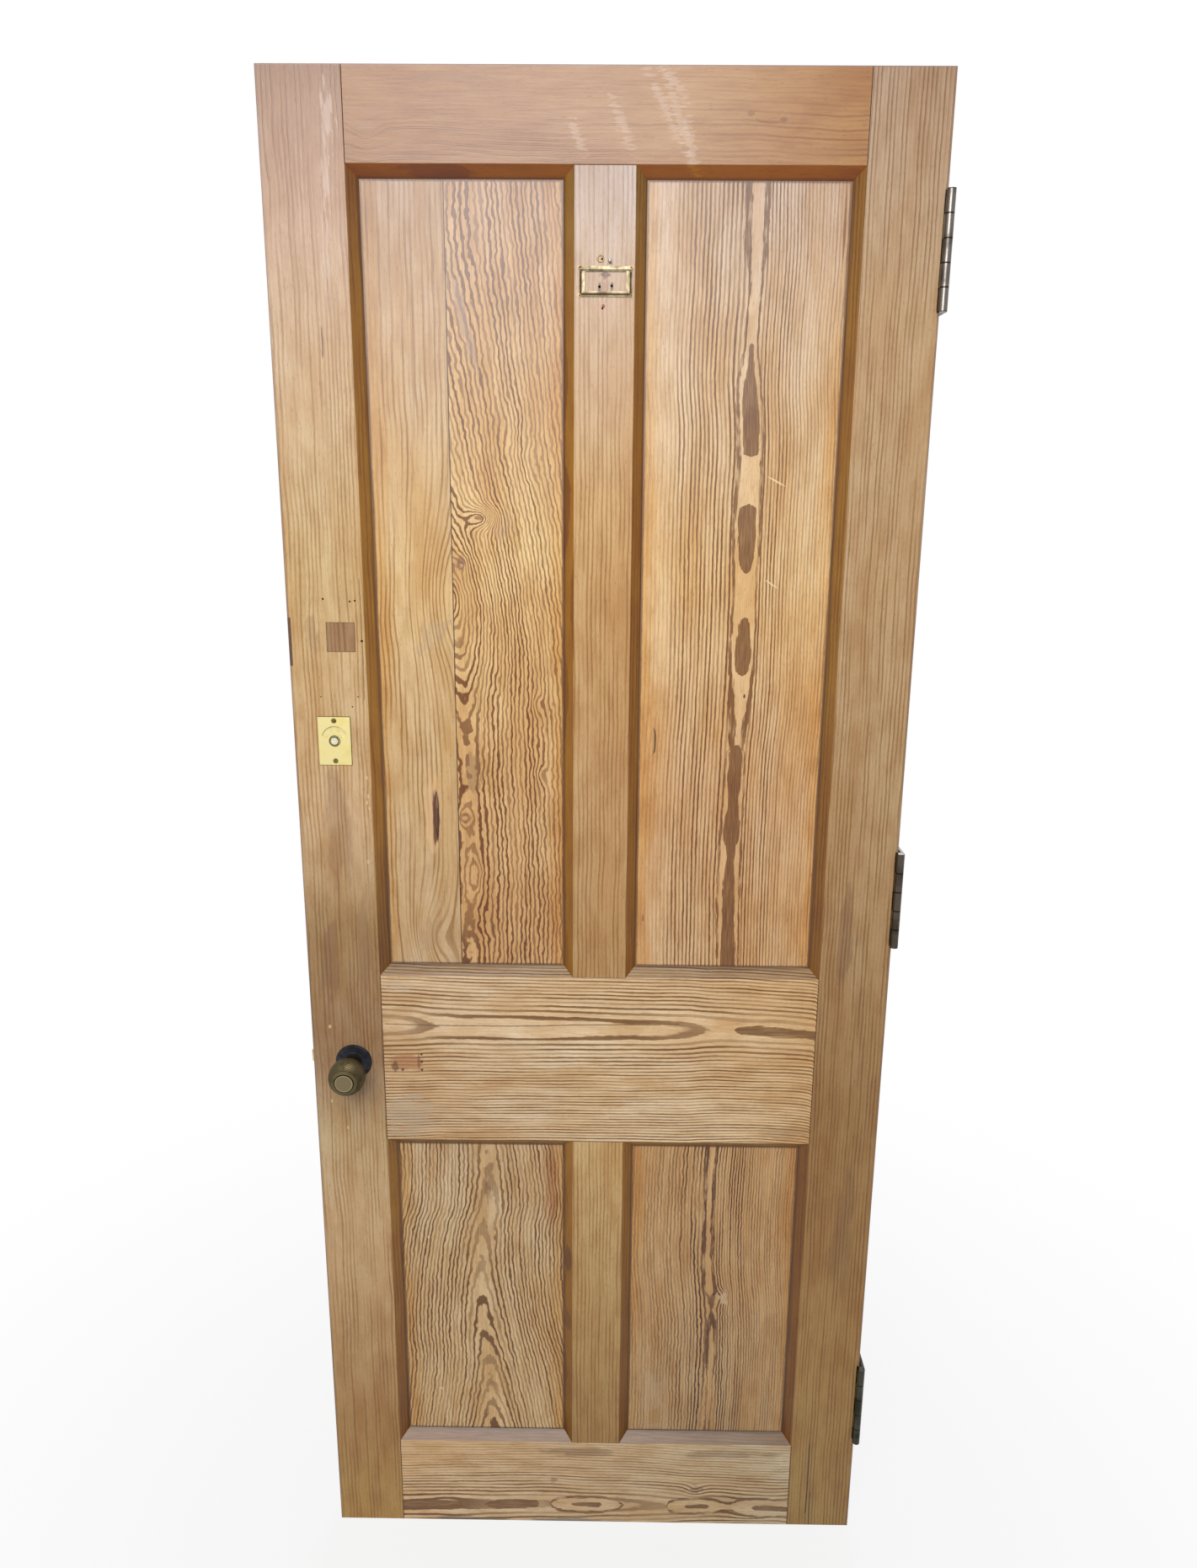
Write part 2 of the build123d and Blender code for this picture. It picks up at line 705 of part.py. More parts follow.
# Privacy indicator and bolt
crank_throw = bolt_throw / (2 * sin(radians(bolt_turn / 2)))
crank_radius = crank_throw + crank_pin_radius + 1
crank_pin_x = crank_throw * sin(radians(bolt_turn / 2))
crank_pin_z = -crank_throw * cos(radians(bolt_turn / 2))
housing_face = far_face + housing_depth
crank_back = housing_face - housing_cover - sliding_gap
crank_front = crank_back - crank_gauge
bolt_far = crank_front - sliding_gap
bolt_near = bolt_far - bolt_thickness
notch_half = crank_pin_radius + crank_pin_gap
bolt_inner_end = crank_pin_x + notch_half + bolt_shoulder


def at_indicator(*shapes):
    return [Pos(indicator_x, 0, indicator_height) * shape for shape in shapes]


def indicator_plate():
    """The near plate: bevelled edges, an arc window over the disc, a round hole and two screw holes."""
    blank = Box(plate_width, plate_gauge, plate_height)
    blank = chamfer(blank.faces().sort_by(Axis.Y)[0].edges(), plate_bevel)
    plate = Pos(0, near_face - plate_gauge / 2, 0) * blank
    span = window_end - window_start
    arcs = [
        CenterArc((0, 0), window_inner_radius, window_start, span),
        CenterArc((0, window_rise), window_outer_radius, window_start - window_dip, span + 2 * window_dip),
    ]
    ends = [Line(arcs[0] @ 0, arcs[1] @ 0), Line(arcs[0] @ 1, arcs[1] @ 1)]
    through = (near_face - plate_gauge - 1, near_face)
    window = slab(make_face([*arcs, *ends]), through)
    plate -= [window, rod(release_hole_radius, 0, 0, through)]
    screws = []
    for z in (-plate_screw_offset, plate_screw_offset):
        seat = outward(0, near_face - plate_gauge, z, (0, -1, 0))
        hole = seat * screw(plate_head_radius, plate_shank_radius, plate_screw_length, screw_play)
        plate -= hole
        screws.append(seat * screw(plate_head_radius, plate_shank_radius, plate_screw_length))
        stile_cuts["lock_stile"] += at_indicator(hole)
    return plate, screws


def housing_and_screws():
    """The cast housing on the far face: a flanged box with room for the crank and a channel for the bolt."""
    outer = lock_edge + housing_inset - indicator_x
    x = (outer, outer + housing_length)
    raised = block(x, (far_face, housing_face), (-housing_height / 2, housing_height / 2))
    raised = fillet(raised.faces().sort_by(Axis.Y)[-1].edges(), housing_round)
    flange = block(x, (far_face, far_face + flange_gauge), (-plate_height / 2, plate_height / 2))
    body = raised + flange
    room = rod(crank_radius + 2 * sliding_gap, 0, 0, (far_face, crank_back + sliding_gap))
    channel = block(
        (x[0] - 1, bolt_inner_end + 2 * sliding_gap),
        (far_face, bolt_far + sliding_gap),
        (-bolt_drop - bolt_height - sliding_gap, -bolt_drop + sliding_gap),
    )
    bearing = rod(turn_shaft_radius + running_fit, 0, 0, (far_face, housing_face))
    body -= [room, channel, bearing]
    screws = []
    rows = (plate_height / 2 + housing_height / 2) / 2
    for px in (x[0] + flange_screw_inset, x[1] - flange_screw_inset):
        for z in (-rows, rows):
            seat = outward(px, far_face + flange_gauge, z, (0, 1, 0))
            hole = seat * screw(plate_head_radius, plate_shank_radius, plate_screw_length, screw_play)
            body -= hole
            screws.append(seat * screw(plate_head_radius, plate_shank_radius, plate_screw_length))
            stile_cuts["lock_stile"] += at_indicator(hole)
    return body, screws


def privacy_bolt():
    """The flat bolt, with an open notch in its top edge for the crank's pin."""
    z = (-bolt_drop - bolt_height, -bolt_drop)
    x = (lock_edge + housing_inset - indicator_x - sliding_gap, bolt_inner_end)
    bar = block(x, (bolt_near, bolt_far), z)
    foot = -crank_throw - notch_half
    notch = (crank_pin_x - notch_half, crank_pin_x + notch_half)
    return bar - block(notch, (bolt_near, bolt_far), (foot, 0))


def thumb_turn():
    """The turn outside the housing: collar, stem and a half-round blade, on a shaft with a square socket."""
    collar = housing_face + sliding_gap
    stem = collar + turn_collar_gauge
    root = stem + turn_stem_length
    shaft = rod(turn_shaft_radius, 0, 0, (crank_back, collar))
    body = shaft + rod(turn_collar_radius, 0, 0, (collar, stem)) + rod(turn_stem_radius, 0, 0, (stem, root))
    kept = Pos(0, turn_blade_reach / 2) * Rectangle(turn_blade_width, turn_blade_reach)
    half_oval = Ellipse(turn_blade_width / 2, turn_blade_reach) & kept
    blade = extrude(half_oval, turn_blade_gauge / 2, both=True)
    body += Pos(0, stem + turn_stem_length / 2, 0) * blade
    side = (turn_spindle_side + spindle_play) / 2
    return body - block((-side, side), (crank_back, crank_back + turn_socket_depth + 1), (-side, side))


def indicator():
    plate, plate_screws = indicator_plate()
    housing, housing_screws = housing_and_screws()
    disc_front = near_face + disc_gap
    disc_back = disc_front + disc_gauge
    half = turn_spindle_side / 2
    square = block((-half, half), (disc_front, crank_back + turn_socket_depth), (-half, half))
    hole_side = half + spindle_play / 2
    square_hole = block((-hole_side, hole_side), (near_face, housing_face), (-hole_side, hole_side))
    disc = rod(disc_radius, 0, 0, (disc_front, disc_back)) - square_hole
    face = near_face - plate_gauge - release_proud
    release = rod(release_radius, 0, 0, (face, disc_front))
    slot = (-release_slot / 2, release_slot / 2)
    release -= block((-release_radius, release_radius), (face, face + release_slot_depth), slot)
    crank = rod(crank_radius, 0, 0, (crank_front, crank_back)) - square_hole
    crank += rod(crank_pin_radius, crank_pin_x, crank_pin_z, (bolt_near + 1, crank_front))
    made = at_indicator(plate, disc, release, square, housing, privacy_bolt(), crank, thumb_turn())
    names = (
        "indicator_plate",
        "indicator_disc",
        "release_head",
        "indicator_spindle",
        "bolt_housing",
        "privacy_bolt",
        "bolt_crank",
        "thumb_turn",
    )
    pieces.update(zip(names, made))
    pieces["indicator_plate_screws"] = Compound(at_indicator(*plate_screws))
    pieces["bolt_housing_screws"] = Compound(at_indicator(*housing_screws))
    recess = rod(disc_radius + disc_gap, 0, 0, (near_face, near_face + disc_recess))
    stile_cuts["lock_stile"] += at_indicator(recess, rod(turn_hole_radius, 0, 0, faces))


# Card frame
def ear_places():
    """The centres of the card frame's four ears, counted from the middle of the frame."""
    across, up = card_frame_width / 2 + ear_reach, (card_frame_height - ear_radius) / 2
    return [(side * across, end * up) for side in (-1, 1) for end in (-1, 1)]


def card_frame():
    """A brass frame that holds a card behind its lip, pinned through an ear at each corner."""
    half_width, half_height = card_frame_width / 2, card_frame_height / 2
    front, lip_back = near_face - card_frame_gauge, near_face - card_lip_gauge
    ear_front = near_face - card_lip_gauge
    frame = block((-half_width, half_width), (front, near_face), (-half_height, half_height))
    for place in ear_places():
        frame += rod(ear_radius, *place, (ear_front, near_face))
    sight = (card_side_width, card_foot_width, card_head_width)
    card_room = [width - card_slot_depth for width in sight]
    for (side, foot, head), y in ((sight, (front, near_face)), (card_room, (lip_back, near_face))):
        frame -= block((side - half_width, half_width - side), y, (foot - half_height, half_height - head))
    inner, outer = half_width - card_groove_inset - card_groove_width, half_width - card_groove_inset
    low, top = card_groove_inset - half_height, half_height - card_head_width
    groove = block((-outer, outer), (front, front + card_groove_depth), (low, top))
    groove -= block((-inner, inner), (front, near_face), (low + card_groove_width, top))
    frame -= groove
    pins, holes = [], []
    for place in ear_places():
        shank = rod(card_pin_radius, *place, (ear_front, near_face + card_pin_length))
        pins.append(shank + rod(card_pin_head, *place, (ear_front - card_pin_radius, ear_front)))
        holes.append(rod(card_pin_radius + running_fit, *place, (ear_front, near_face + card_pin_length)))
        frame -= rod(card_pin_head + running_fit, *place, (front, ear_front))
    put = Pos(card_frame_centre[0], 0, card_frame_centre[1])
    pieces["card_frame"] = put * (frame - holes)
    pieces["card_frame_pins"] = Compound([put * pin for pin in pins])
    pieces["upper_muntin"] -= [put * hole for hole in holes]


# Patches and old holes
def repairs():
    x = (lock_edge + square_patch_offset, lock_edge + square_patch_offset + square_patch_width)
    z = (square_patch_bottom, square_patch_bottom + square_patch_height)
    pieces["square_patch"] = block(x, (near_face, near_face + square_patch_depth), z)
    edge_z = (edge_patch_bottom, edge_patch_bottom + edge_patch_height)
    edge_y = (near_face, near_face + edge_patch_depth)
    pieces["edge_patch"] = block((lock_edge, lock_edge + edge_patch_gauge), edge_y, edge_z)
    depth = (near_face, near_face + old_hole_depth)
    drilled = [
        rod(radius, lock_edge + offset, indicator_height + rise, depth) for offset, rise, radius in old_holes
    ]
    stile_cuts["lock_stile"] += [pieces["square_patch"], pieces["edge_patch"], *drilled]
    card_x, card_z = card_frame_centre
    nail_holes = [rod(radius, card_x + across, card_z + up, depth) for across, up, radius in card_holes]
    pieces["upper_muntin"] -= nail_holes


framing()
panels()
for hinge_name, hinge_centre in hinge_centres.items():
    hinge(hinge_name, hinge_centre)
knob_set()
latch()
indicator()
card_frame()
repairs()
for stile, cuts in stile_cuts.items():
    pieces[stile] -= cuts
for node, shape in pieces.items():
    export_step(shape, f"parts/{node}.step")
print(len(pieces), "pieces")
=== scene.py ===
# %% [markdown]
# This lesson dresses a reclaimed pine door: four flat panels in a splayed frame, three butt hinges, a ringed
# knob on each side, and a privacy bolt. The solids come from CAD and are already in place, in metres, with x
# across the leaf, y from the near face to the far one and z up. What Blender adds is the eased arrises, a few
# small turned pieces and, above all, the wood.

# %% Load the solids
import json
from math import cos, pi, radians, sin

import bmesh
import bpy
from mathutils import Matrix, Vector


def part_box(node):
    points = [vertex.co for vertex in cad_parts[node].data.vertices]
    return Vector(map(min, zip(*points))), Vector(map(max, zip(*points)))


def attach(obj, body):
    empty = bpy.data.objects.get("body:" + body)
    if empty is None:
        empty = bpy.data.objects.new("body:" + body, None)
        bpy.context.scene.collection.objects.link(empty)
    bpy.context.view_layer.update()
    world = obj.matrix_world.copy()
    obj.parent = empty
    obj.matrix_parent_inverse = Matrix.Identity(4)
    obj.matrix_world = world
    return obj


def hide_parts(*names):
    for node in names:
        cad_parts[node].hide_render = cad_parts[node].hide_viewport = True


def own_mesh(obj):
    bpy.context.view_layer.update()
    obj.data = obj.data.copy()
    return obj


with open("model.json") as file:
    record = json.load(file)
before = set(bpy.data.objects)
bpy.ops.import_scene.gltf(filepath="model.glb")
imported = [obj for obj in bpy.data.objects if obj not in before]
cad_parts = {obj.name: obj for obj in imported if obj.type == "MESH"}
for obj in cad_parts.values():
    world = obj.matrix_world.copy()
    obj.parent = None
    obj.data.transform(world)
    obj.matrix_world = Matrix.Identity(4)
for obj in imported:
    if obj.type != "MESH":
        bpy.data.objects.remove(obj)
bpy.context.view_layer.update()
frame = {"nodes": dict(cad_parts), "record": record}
nodes = frame["nodes"]
slots = {row["node"]: row["material_slot"] for row in frame["record"]["subparts"]}

# %% [markdown]
# The photograph was taken with a wide lens from about 1.4 metres, a little above the middle of the door and
# tipped down, so the uprights lean together towards the floor. The camera is turned by three small angles
# that were worked out from the corners of the leaf.

# %% Camera
scene = bpy.context.scene
yaw, pitch, roll = radians(-0.52675), radians(-14.2208), radians(0.41952)
ahead = Vector((sin(yaw) * cos(pitch), cos(yaw) * cos(pitch), sin(pitch)))
level = Vector((cos(yaw), -sin(yaw), 0))
upward = level.cross(ahead)
across = cos(roll) * level + sin(roll) * upward
above = cos(roll) * upward - sin(roll) * level
camera = bpy.data.objects.new("camera", bpy.data.cameras.new("camera"))
stand = Matrix.Translation((0.01139, -1.38917, 1.49411))
camera.matrix_world = stand @ Matrix((across, above, -ahead)).transposed().to_4x4()
camera.data.sensor_width = 36
camera.data.lens = 25.805
scene.collection.objects.link(camera)
scene.camera = camera
print("camera looks", [round(v, 3) for v in ahead])

# %% [markdown]
# Node trees are written as sums. A wire stands for a node's output, and arithmetic on wires adds Math nodes.
# Every other node comes from one method, which takes the node's type, its settings and its sockets. Settings
# come first, because a ramp's stops and a curve's points have to be there before anything reads them.


# %% A wire and a recipe
class Wire:
    """A node's output, on which arithmetic adds Math nodes."""

    def __init__(self, recipe, socket):
        self.recipe = recipe
        self.socket = socket

    def __add__(self, other):
        return self.recipe.maths("ADD", self, other)

    def __sub__(self, other):
        return self.recipe.maths("SUBTRACT", self, other)

    def __rsub__(self, other):
        return self.recipe.maths("SUBTRACT", other, self)

    def __mul__(self, other):
        return self.recipe.maths("MULTIPLY", self, other)

    def __truediv__(self, other):
        return self.recipe.maths("DIVIDE", self, other)

    __radd__ = __add__
    __rmul__ = __mul__


class Recipe:
    """A node tree under construction."""

    def __init__(self, owner):
        owner.use_nodes = True
        self.tree = owner.node_tree
        self.tree.nodes.clear()

    def add(self, kind, settings, sockets, output=0):
        """Adds one node: settings first, then values or wires into its sockets."""
        node = self.tree.nodes.new(kind)
        for name, value in settings.items():
            if name == "stops":
                for place, (at, shade) in enumerate(value):
                    stops = node.color_ramp.elements
                    stop = stops[place] if place < 2 else stops.new(at)
                    stop.position, stop.color = at, shade
            elif name == "points":
                for place, spot in enumerate(value):
                    points = node.mapping.curves[0].points
                    if place < 2:
                        points[place].location = spot
                    else:
                        points.new(*spot)
                node.mapping.update()
            else:
                setattr(node, name, value)
        for name, value in sockets.items():
            if isinstance(value, Wire):
                self.tree.links.new(value.socket, node.inputs[name])
            else:
                node.inputs[name].default_value = value
        return Wire(self, node.outputs[output]) if len(node.outputs) else node

    def maths(self, operation, first, second=0.0):
        return self.add("ShaderNodeMath", {"operation": operation}, {0: first, 1: second})

    def ease(self, value, low, high, start=0.0, end=1.0):
        """A smooth step from start to end while value goes from low to high."""
        sockets = {0: value, 1: low, 2: high, 3: start, 4: end}
        return self.add("ShaderNodeMapRange", {"interpolation_type": "SMOOTHSTEP"}, sockets)

    def follow(self, value, points):
        """A smooth curve through points, read at a value. A plain number stands for a level line."""
        if not isinstance(points, (list, tuple)):
            return points
        low, wide = points[0][0], points[-1][0] - points[0][0]
        base = min(end for start, end in points)
        tall = max(end for start, end in points) - base or 1.0
        spots = [((start - low) / wide, (end - base) / tall) for start, end in points]
        curve = self.add("ShaderNodeFloatCurve", {"points": spots}, {"Value": (value - low) / wide})
        return curve * tall + base

    def point(self, x, y, z):
        return self.add("ShaderNodeCombineXYZ", {}, {0: x, 1: y, 2: z})

    def noise(self, point, scale=1.0, detail=2.0):
        """Soft noise about 0.5 at a point."""
        return self.add("ShaderNodeTexNoise", {}, {"Vector": point, "Scale": scale, "Detail": detail})

    def mix(self, mask, first, second, blend="MIX"):
        settings = {"data_type": "RGBA", "blend_type": blend}
        return self.add("ShaderNodeMix", settings, {0: mask, 6: first, 7: second}, 2)

    def place(self):
        """Object coordinates in millimetres, as three wires."""
        where = self.add("ShaderNodeTexCoord", {}, {}, "Object")
        apart = self.add("ShaderNodeSeparateXYZ", {}, {0: where}).socket.node
        return [Wire(self, output) * 1000 for output in apart.outputs]


def colour(red, green, blue):
    """A colour as a screen shows it, 0 to 255, in the linear values that shaders take."""
    shares = [value / 255 for value in (red, green, blue)]
    return (*(v / 12.92 if v < 0.0404 else ((v + 0.055) / 1.055) ** 2.4 for v in shares), 1)


print("white is", [round(v, 3) for v in colour(255, 255, 255)])

# %% [markdown]
# The light in the photograph is daylight from above and in front: the top of the door is about twice as
# bright as its foot and has a pale sheen. One large soft lamp does that, and a second one lights the far side
# for a viewer who walks round. The room is white to the camera and to anything glossy, and dimmer as a source
# of light, so that the lamps still shape the splays.

# %% World, floor and lamps
world = bpy.data.worlds.new("room")
scene.world = world
room = Recipe(world)


def looked_at(recipe):
    """1 for rays from the camera and for rays that gloss or glass sends on."""
    kinds = ("Is Camera Ray", "Is Glossy Ray", "Is Transmission Ray")
    seen, gloss, glass = (recipe.add("ShaderNodeLightPath", {}, {}, kind) for kind in kinds)
    return recipe.maths("MAXIMUM", recipe.maths("MAXIMUM", seen, gloss), glass)


ambient = 0.27
strength = looked_at(room) * (1 - ambient) + ambient
background = room.add("ShaderNodeBackground", {}, {"Color": (1, 1, 1, 1), "Strength": strength})
room.add("ShaderNodeOutputWorld", {}, {"Surface": background})

floor_reach = 12
floor_shape = bmesh.new()
bmesh.ops.create_grid(floor_shape, x_segments=1, y_segments=1, size=floor_reach)
floor_mesh = bpy.data.meshes.new("floor")
floor_shape.to_mesh(floor_mesh)
floor_shape.free()
floor = bpy.data.objects.new("floor", floor_mesh)
scene.collection.objects.link(floor)
floor.data.materials.append(bpy.data.materials.new("pale floor"))
ground = Recipe(floor.data.materials[0])
glow = ground.add("ShaderNodeEmission", {}, {"Color": (1, 1, 1, 1), "Strength": 1.0})
matt = ground.add("ShaderNodeBsdfDiffuse", {}, {"Color": (0.5, 0.5, 0.5, 1)})
spot = ground.add("ShaderNodeTexCoord", {}, {}, "Object")
away = ground.add("ShaderNodeVectorMath", {"operation": "LENGTH"}, {0: spot}, 1)
shadow_share, shadow_start, shadow_end = 0.16, 0.1, 1.6
share = looked_at(ground) * ground.ease(away, shadow_start, shadow_end, 1 - shadow_share, 1.0)
both = ground.add("ShaderNodeMixShader", {}, {0: share, 1: matt, 2: glow})
ground.add("ShaderNodeOutputMaterial", {}, {"Surface": both})


def lamp(name, place, target, size, power):
    """A square soft lamp that looks at a target."""
    data = bpy.data.lights.new(name, "AREA")
    data.size = size
    data.energy = power
    lit = bpy.data.objects.new(name, data)
    lit.location = place
    lit.rotation_euler = (Vector(target) - Vector(place)).to_track_quat("-Z", "Y").to_euler()
    scene.collection.objects.link(lit)


upper_middle = (0, 0, 1.2)
lamp("window", (-0.35, -2.2, 2.5), upper_middle, 1.5, 65)
lamp("far window", (0.35, 2.6, 2.4), upper_middle, 1.5, 55)
scene.view_settings.view_transform = "Standard"
print("a lamp on each side of the door and a white room")

# %% [markdown]
# Pine is read from its growth rings. Each board is a slice of a trunk, so the recipe counts years at every
# point: the distance from the heart of the tree divided by the width of a year, plus a slow climb along the
# board, and pushed up or down by knots. The heart is a line that wanders along the board some way behind its
# face. Where the board lies flat against the rings the same count draws the tall arches and islands of a
# flat-sawn board, and on its ends and edges it draws arcs and straight lines with no seam. Boards with their
# grain upright and boards with their grain level share the recipe, with two coordinates swapped.


# %% Growth rings
class Pine(Recipe):
    """The wood of one board: years counted outwards from a heart line behind its face."""

    def __init__(self, name, grain, face, heart, climb, depth, year, lean=0.0, sway=1.0, curl=0.12, grit=0.05,
                 ripple=0.0, seed=0.0):
        """Heart, depth and year set the rings. Sway, curl, ripple and grit bend them, large to small."""
        self.material = bpy.data.materials.new(name)
        super().__init__(self.material)
        self.x, self.y, self.z = self.place()
        self.along, self.across = (self.z, self.x) if grain == "upright" else (self.x, self.z)
        along, across, seed = self.along, self.across, seed + 0.37
        self.seed = seed
        slow = self.noise(self.point(along / 120, across / 70 + seed, self.y / 70), detail=1.0) - 0.5
        off = across - self.follow(along, heart) + slow * (4 * sway)
        if lean:
            off = off * self.ease(off, -25, 25, 1.0, 1.0 + lean)
        deep = self.y - face + depth
        reach = self.maths("SQRT", off * off + deep * deep)
        waves = self.noise(self.point(along / 60, across / 22 + seed, self.y / 22), detail=2.0) - 0.5
        rough = self.noise(self.point(along / 9, across / 1.6, self.y / 1.6 + seed), detail=1.0) - 0.5
        self.off, self.rough = off, rough
        self.fibre = self.noise(self.point(along / 34, across / 0.7, self.y / 0.7 + seed), detail=2.0)
        if ripple:
            small = self.noise(self.point(along / 13, across / 10, seed), detail=1.0) - 0.5
            waves = waves + small * (ripple / curl)
        years = (reach - depth) / year + self.follow(along, climb)
        self.years = years + waves * (2 * curl) + rough * (2 * grit)

    def spot(self, along, across, length, width):
        """A soft spot that is 1 in its middle and fades to 0."""
        down = (self.along - along) / length
        over = (self.across - across) / width
        return self.maths("EXPONENT", 0 - (down * down + over * over))

    def knot(self, along, across, years, length, width):
        """Pushes the rings aside around a point, which draws an eye, an island or a wave."""
        self.years = self.years + self.spot(along, across, length, width) * years

    def rings(self, start=0.5, even=0.5, clear=1.0):
        """How dark each point is as late wood, from 0 to 1. Clear is how well the rings show, across."""
        part = self.maths("FRACT", self.years)
        count = self.maths("FLOOR", self.years)
        hard = self.noise(self.point(count * 0.73, self.along / 150, self.seed), detail=0.0)
        late = self.ease(part, start, start + 0.16) * self.ease(part, 0.92, 0.99, 1.0, 0.0)
        self.late = late * self.ease(hard, 0.3, 0.65, even, 1.0) * self.follow(self.across, clear)

    def core(self, widths, gaps, bands):
        """Dark patches on the heart line, in a pale gap with a bold line round it: half widths along it."""
        jag = self.noise(self.point(self.along / 20, self.across / 2.4, self.seed), detail=3.0) - 0.5
        aside = self.maths("ABSOLUTE", self.off + self.rough * 2) + jag * 6
        gap = self.follow(self.along, gaps)
        dark = self.ease(self.follow(self.along, widths) - aside, -0.4, 0.8)
        pale = self.ease(gap - aside, -0.4, 0.8)
        bold = self.ease(gap + self.follow(self.along, bands) - aside, -0.4, 0.8) * (1 - pale)
        broken = self.noise(self.point(self.along / 28, self.off / 9, self.seed))
        bold = bold * self.ease(broken, 0.32, 0.52, 0.3, 1.0)
        dark = self.maths("MAXIMUM", dark, bold) * self.ease(self.fibre, 0.3, 0.6, 0.78, 1.0)
        self.late = self.maths("MAXIMUM", self.late * (1 - pale), dark)

    def stain(self, shades, late, warm):
        """Lays shades along the board, then tints for warm patches, late wood, fibres and resin."""
        along, across, y = self.along, self.across, self.y
        patch = self.noise(self.point(along / 170, across / 45 + self.seed, y / 45), detail=2.0)
        dash = self.noise(self.point(along / 7, across / 0.55, y / 0.55 + self.seed), detail=0.0)
        cloud = self.noise(self.point(along / 48, across / 15 + self.seed, y / 15), detail=4.0)
        low, wide = shades[0][0], max(shades[-1][0] - shades[0][0], 1.0)
        stops = [((at - low) / wide, colour(*shade)) for at, shade in shades]
        if len(stops) == 1:
            stops = [stops[0], (1.0, stops[0][1])]
        self.base = self.add("ShaderNodeValToRGB", {"stops": stops}, {"Fac": (along - low) / wide})
        self.tint(self.ease(patch, 0.35, 0.7), colour(*warm), "MULTIPLY")
        self.tint(self.ease(cloud, 0.38, 0.68), colour(240, 231, 218), "MULTIPLY")
        self.tint(self.late, colour(*late), "MULTIPLY")
        self.tint(self.ease(self.fibre, 0.3, 0.75, 0.0, 0.34), colour(*late), "MULTIPLY")
        self.tint(self.ease(dash, 0.68, 0.78, 0.0, 0.4), colour(140, 104, 74), "MULTIPLY")

    def tint(self, mask, shade, blend="MIX"):
        self.base = self.mix(mask, self.base, shade, blend)

    def mark(self, along, across, length, width, shade, strength=1.0, ragged=0.6, tilt=0.0, blend="MIX"):
        """A mark with a ragged edge: a stain, a knot, a scratch, a hole's rim."""
        down, over = self.along - along, self.across - across
        if tilt:
            turn = radians(tilt)
            down, over = down * cos(turn) + over * sin(turn), over * cos(turn) - down * sin(turn)
        down, over = down / length, over / width
        place = self.point(self.along / (length * 0.6), self.across / (width * 0.6), self.seed)
        grain = self.noise(place, detail=3.0)
        far = self.maths("SQRT", down * down + over * over) + (grain - 0.5) * ragged * 2
        self.tint(self.ease(far, 0.65, 1.05, strength, 0.0), colour(*shade), blend)

    def marks(self, *rows):
        """Several marks, laid in order: along, across, length, width, shade, strength, ragged and tilt."""
        for row in rows:
            self.mark(*row)

    def crack(self, path, width, shade, strength=0.9):
        """A thin line that follows a path along the board between its first and last points."""
        aside = self.maths("ABSOLUTE", self.across - self.follow(self.along, path) + self.rough)
        first, last = path[0][0], path[-1][0]
        ends = self.ease(self.along, first - 1, first + 4) * self.ease(self.along, last - 4, last + 1, 1, 0)
        self.tint(self.ease(aside, width * 0.4, width, strength, 0.0) * ends, colour(*shade))

    def rim(self, sides, ends, width, strength, shade=(74, 46, 26)):
        """Darkens along four edges: painted shade in a panel's corners, a dirty joint round a patch."""
        near = self.maths("MINIMUM", self.x - sides[0], sides[1] - self.x)
        near = self.maths("MINIMUM", near, self.maths("MINIMUM", self.z - ends[0], ends[1] - self.z))
        near = near + self.rough * 1.5
        self.tint(self.ease(near, width * 0.3, width, strength, 0.0), colour(*shade))

    def finish(self, rough=0.3, bump=0.4):
        """The old varnish: duller on early wood, with a bump that raises the late wood."""
        gloss = self.fibre * 0.16 + self.late * -0.06 + rough
        height = self.late * 0.6 + self.fibre * 0.4
        raised = self.add("ShaderNodeBump", {}, {"Strength": bump, "Distance": 0.0004, "Height": height})
        sockets = {"Base Color": self.base, "Roughness": gloss, "Normal": raised, "Specular IOR Level": 0.5}
        shader = self.add("ShaderNodeBsdfPrincipled", {}, sockets)
        self.add("ShaderNodeOutputMaterial", {}, {"Surface": shader})
        return self.material


# %% [markdown]
# The framing has seven boards and the panels five more, each with its own heart, years and shades. The
# shades follow the wear: hands have browned the lock stile about the knob, and the foot of the door is
# darker. All places are in millimetres, as the recipe reads them.

# %% Places on the leaf
lock_arris, hinge_arris = -287.0, 290.0
muntin_arrises = (-33.0, 36.0)
top_arris, foot_arris = 1852.0, 143.0
lock_rail_foot, lock_rail_top = 643.0, 884.0
leaf_half, leaf_top = 381.0, 1950.0
splay = 12.5
near_face, panel_face = -20.0, -7.0
# The middle colour is painted shade for the inner corner of each splay, against its panel.
deep_stain, corner_shade, joint_dirt = colour(196, 165, 76), colour(120, 78, 44), colour(70, 42, 24)
boards = {}


def board(node, shades, late=(178, 163, 138), warm=(244, 232, 214), start=0.5, even=0.5, clear=1.0,
          knots=(), core=(), grain="upright", face=near_face, **trunk):
    """Starts one board, with its knots and the dark patches on its heart line."""
    wood = Pine(node, grain, face, **trunk)
    for place in knots:
        wood.knot(*place)
    wood.rings(start, even, clear)
    if core:
        wood.core(*core)
    boards[node] = wood
    wood.stain(shades, late, warm)
    return wood


def splay_past(wood, value, edge, out, shade):
    """Stains what lies past an arris, with painted shade in its corner against the panel."""
    past = (value - edge) * out
    wood.tint(wood.ease(past, -0.4, 0.6), shade, "MULTIPLY")
    # Painted shade in the splay's inner corner against the panel.
    wood.tint(wood.ease(past, splay - 3.5, splay - 0.5, 0.0, 0.55), corner_shade, "MULTIPLY")


print("panels lie", near_face - panel_face, "mm behind the face")

# %% [markdown]
# The stiles are quarter-sawn: their rings run up them as close, nearly straight lines.

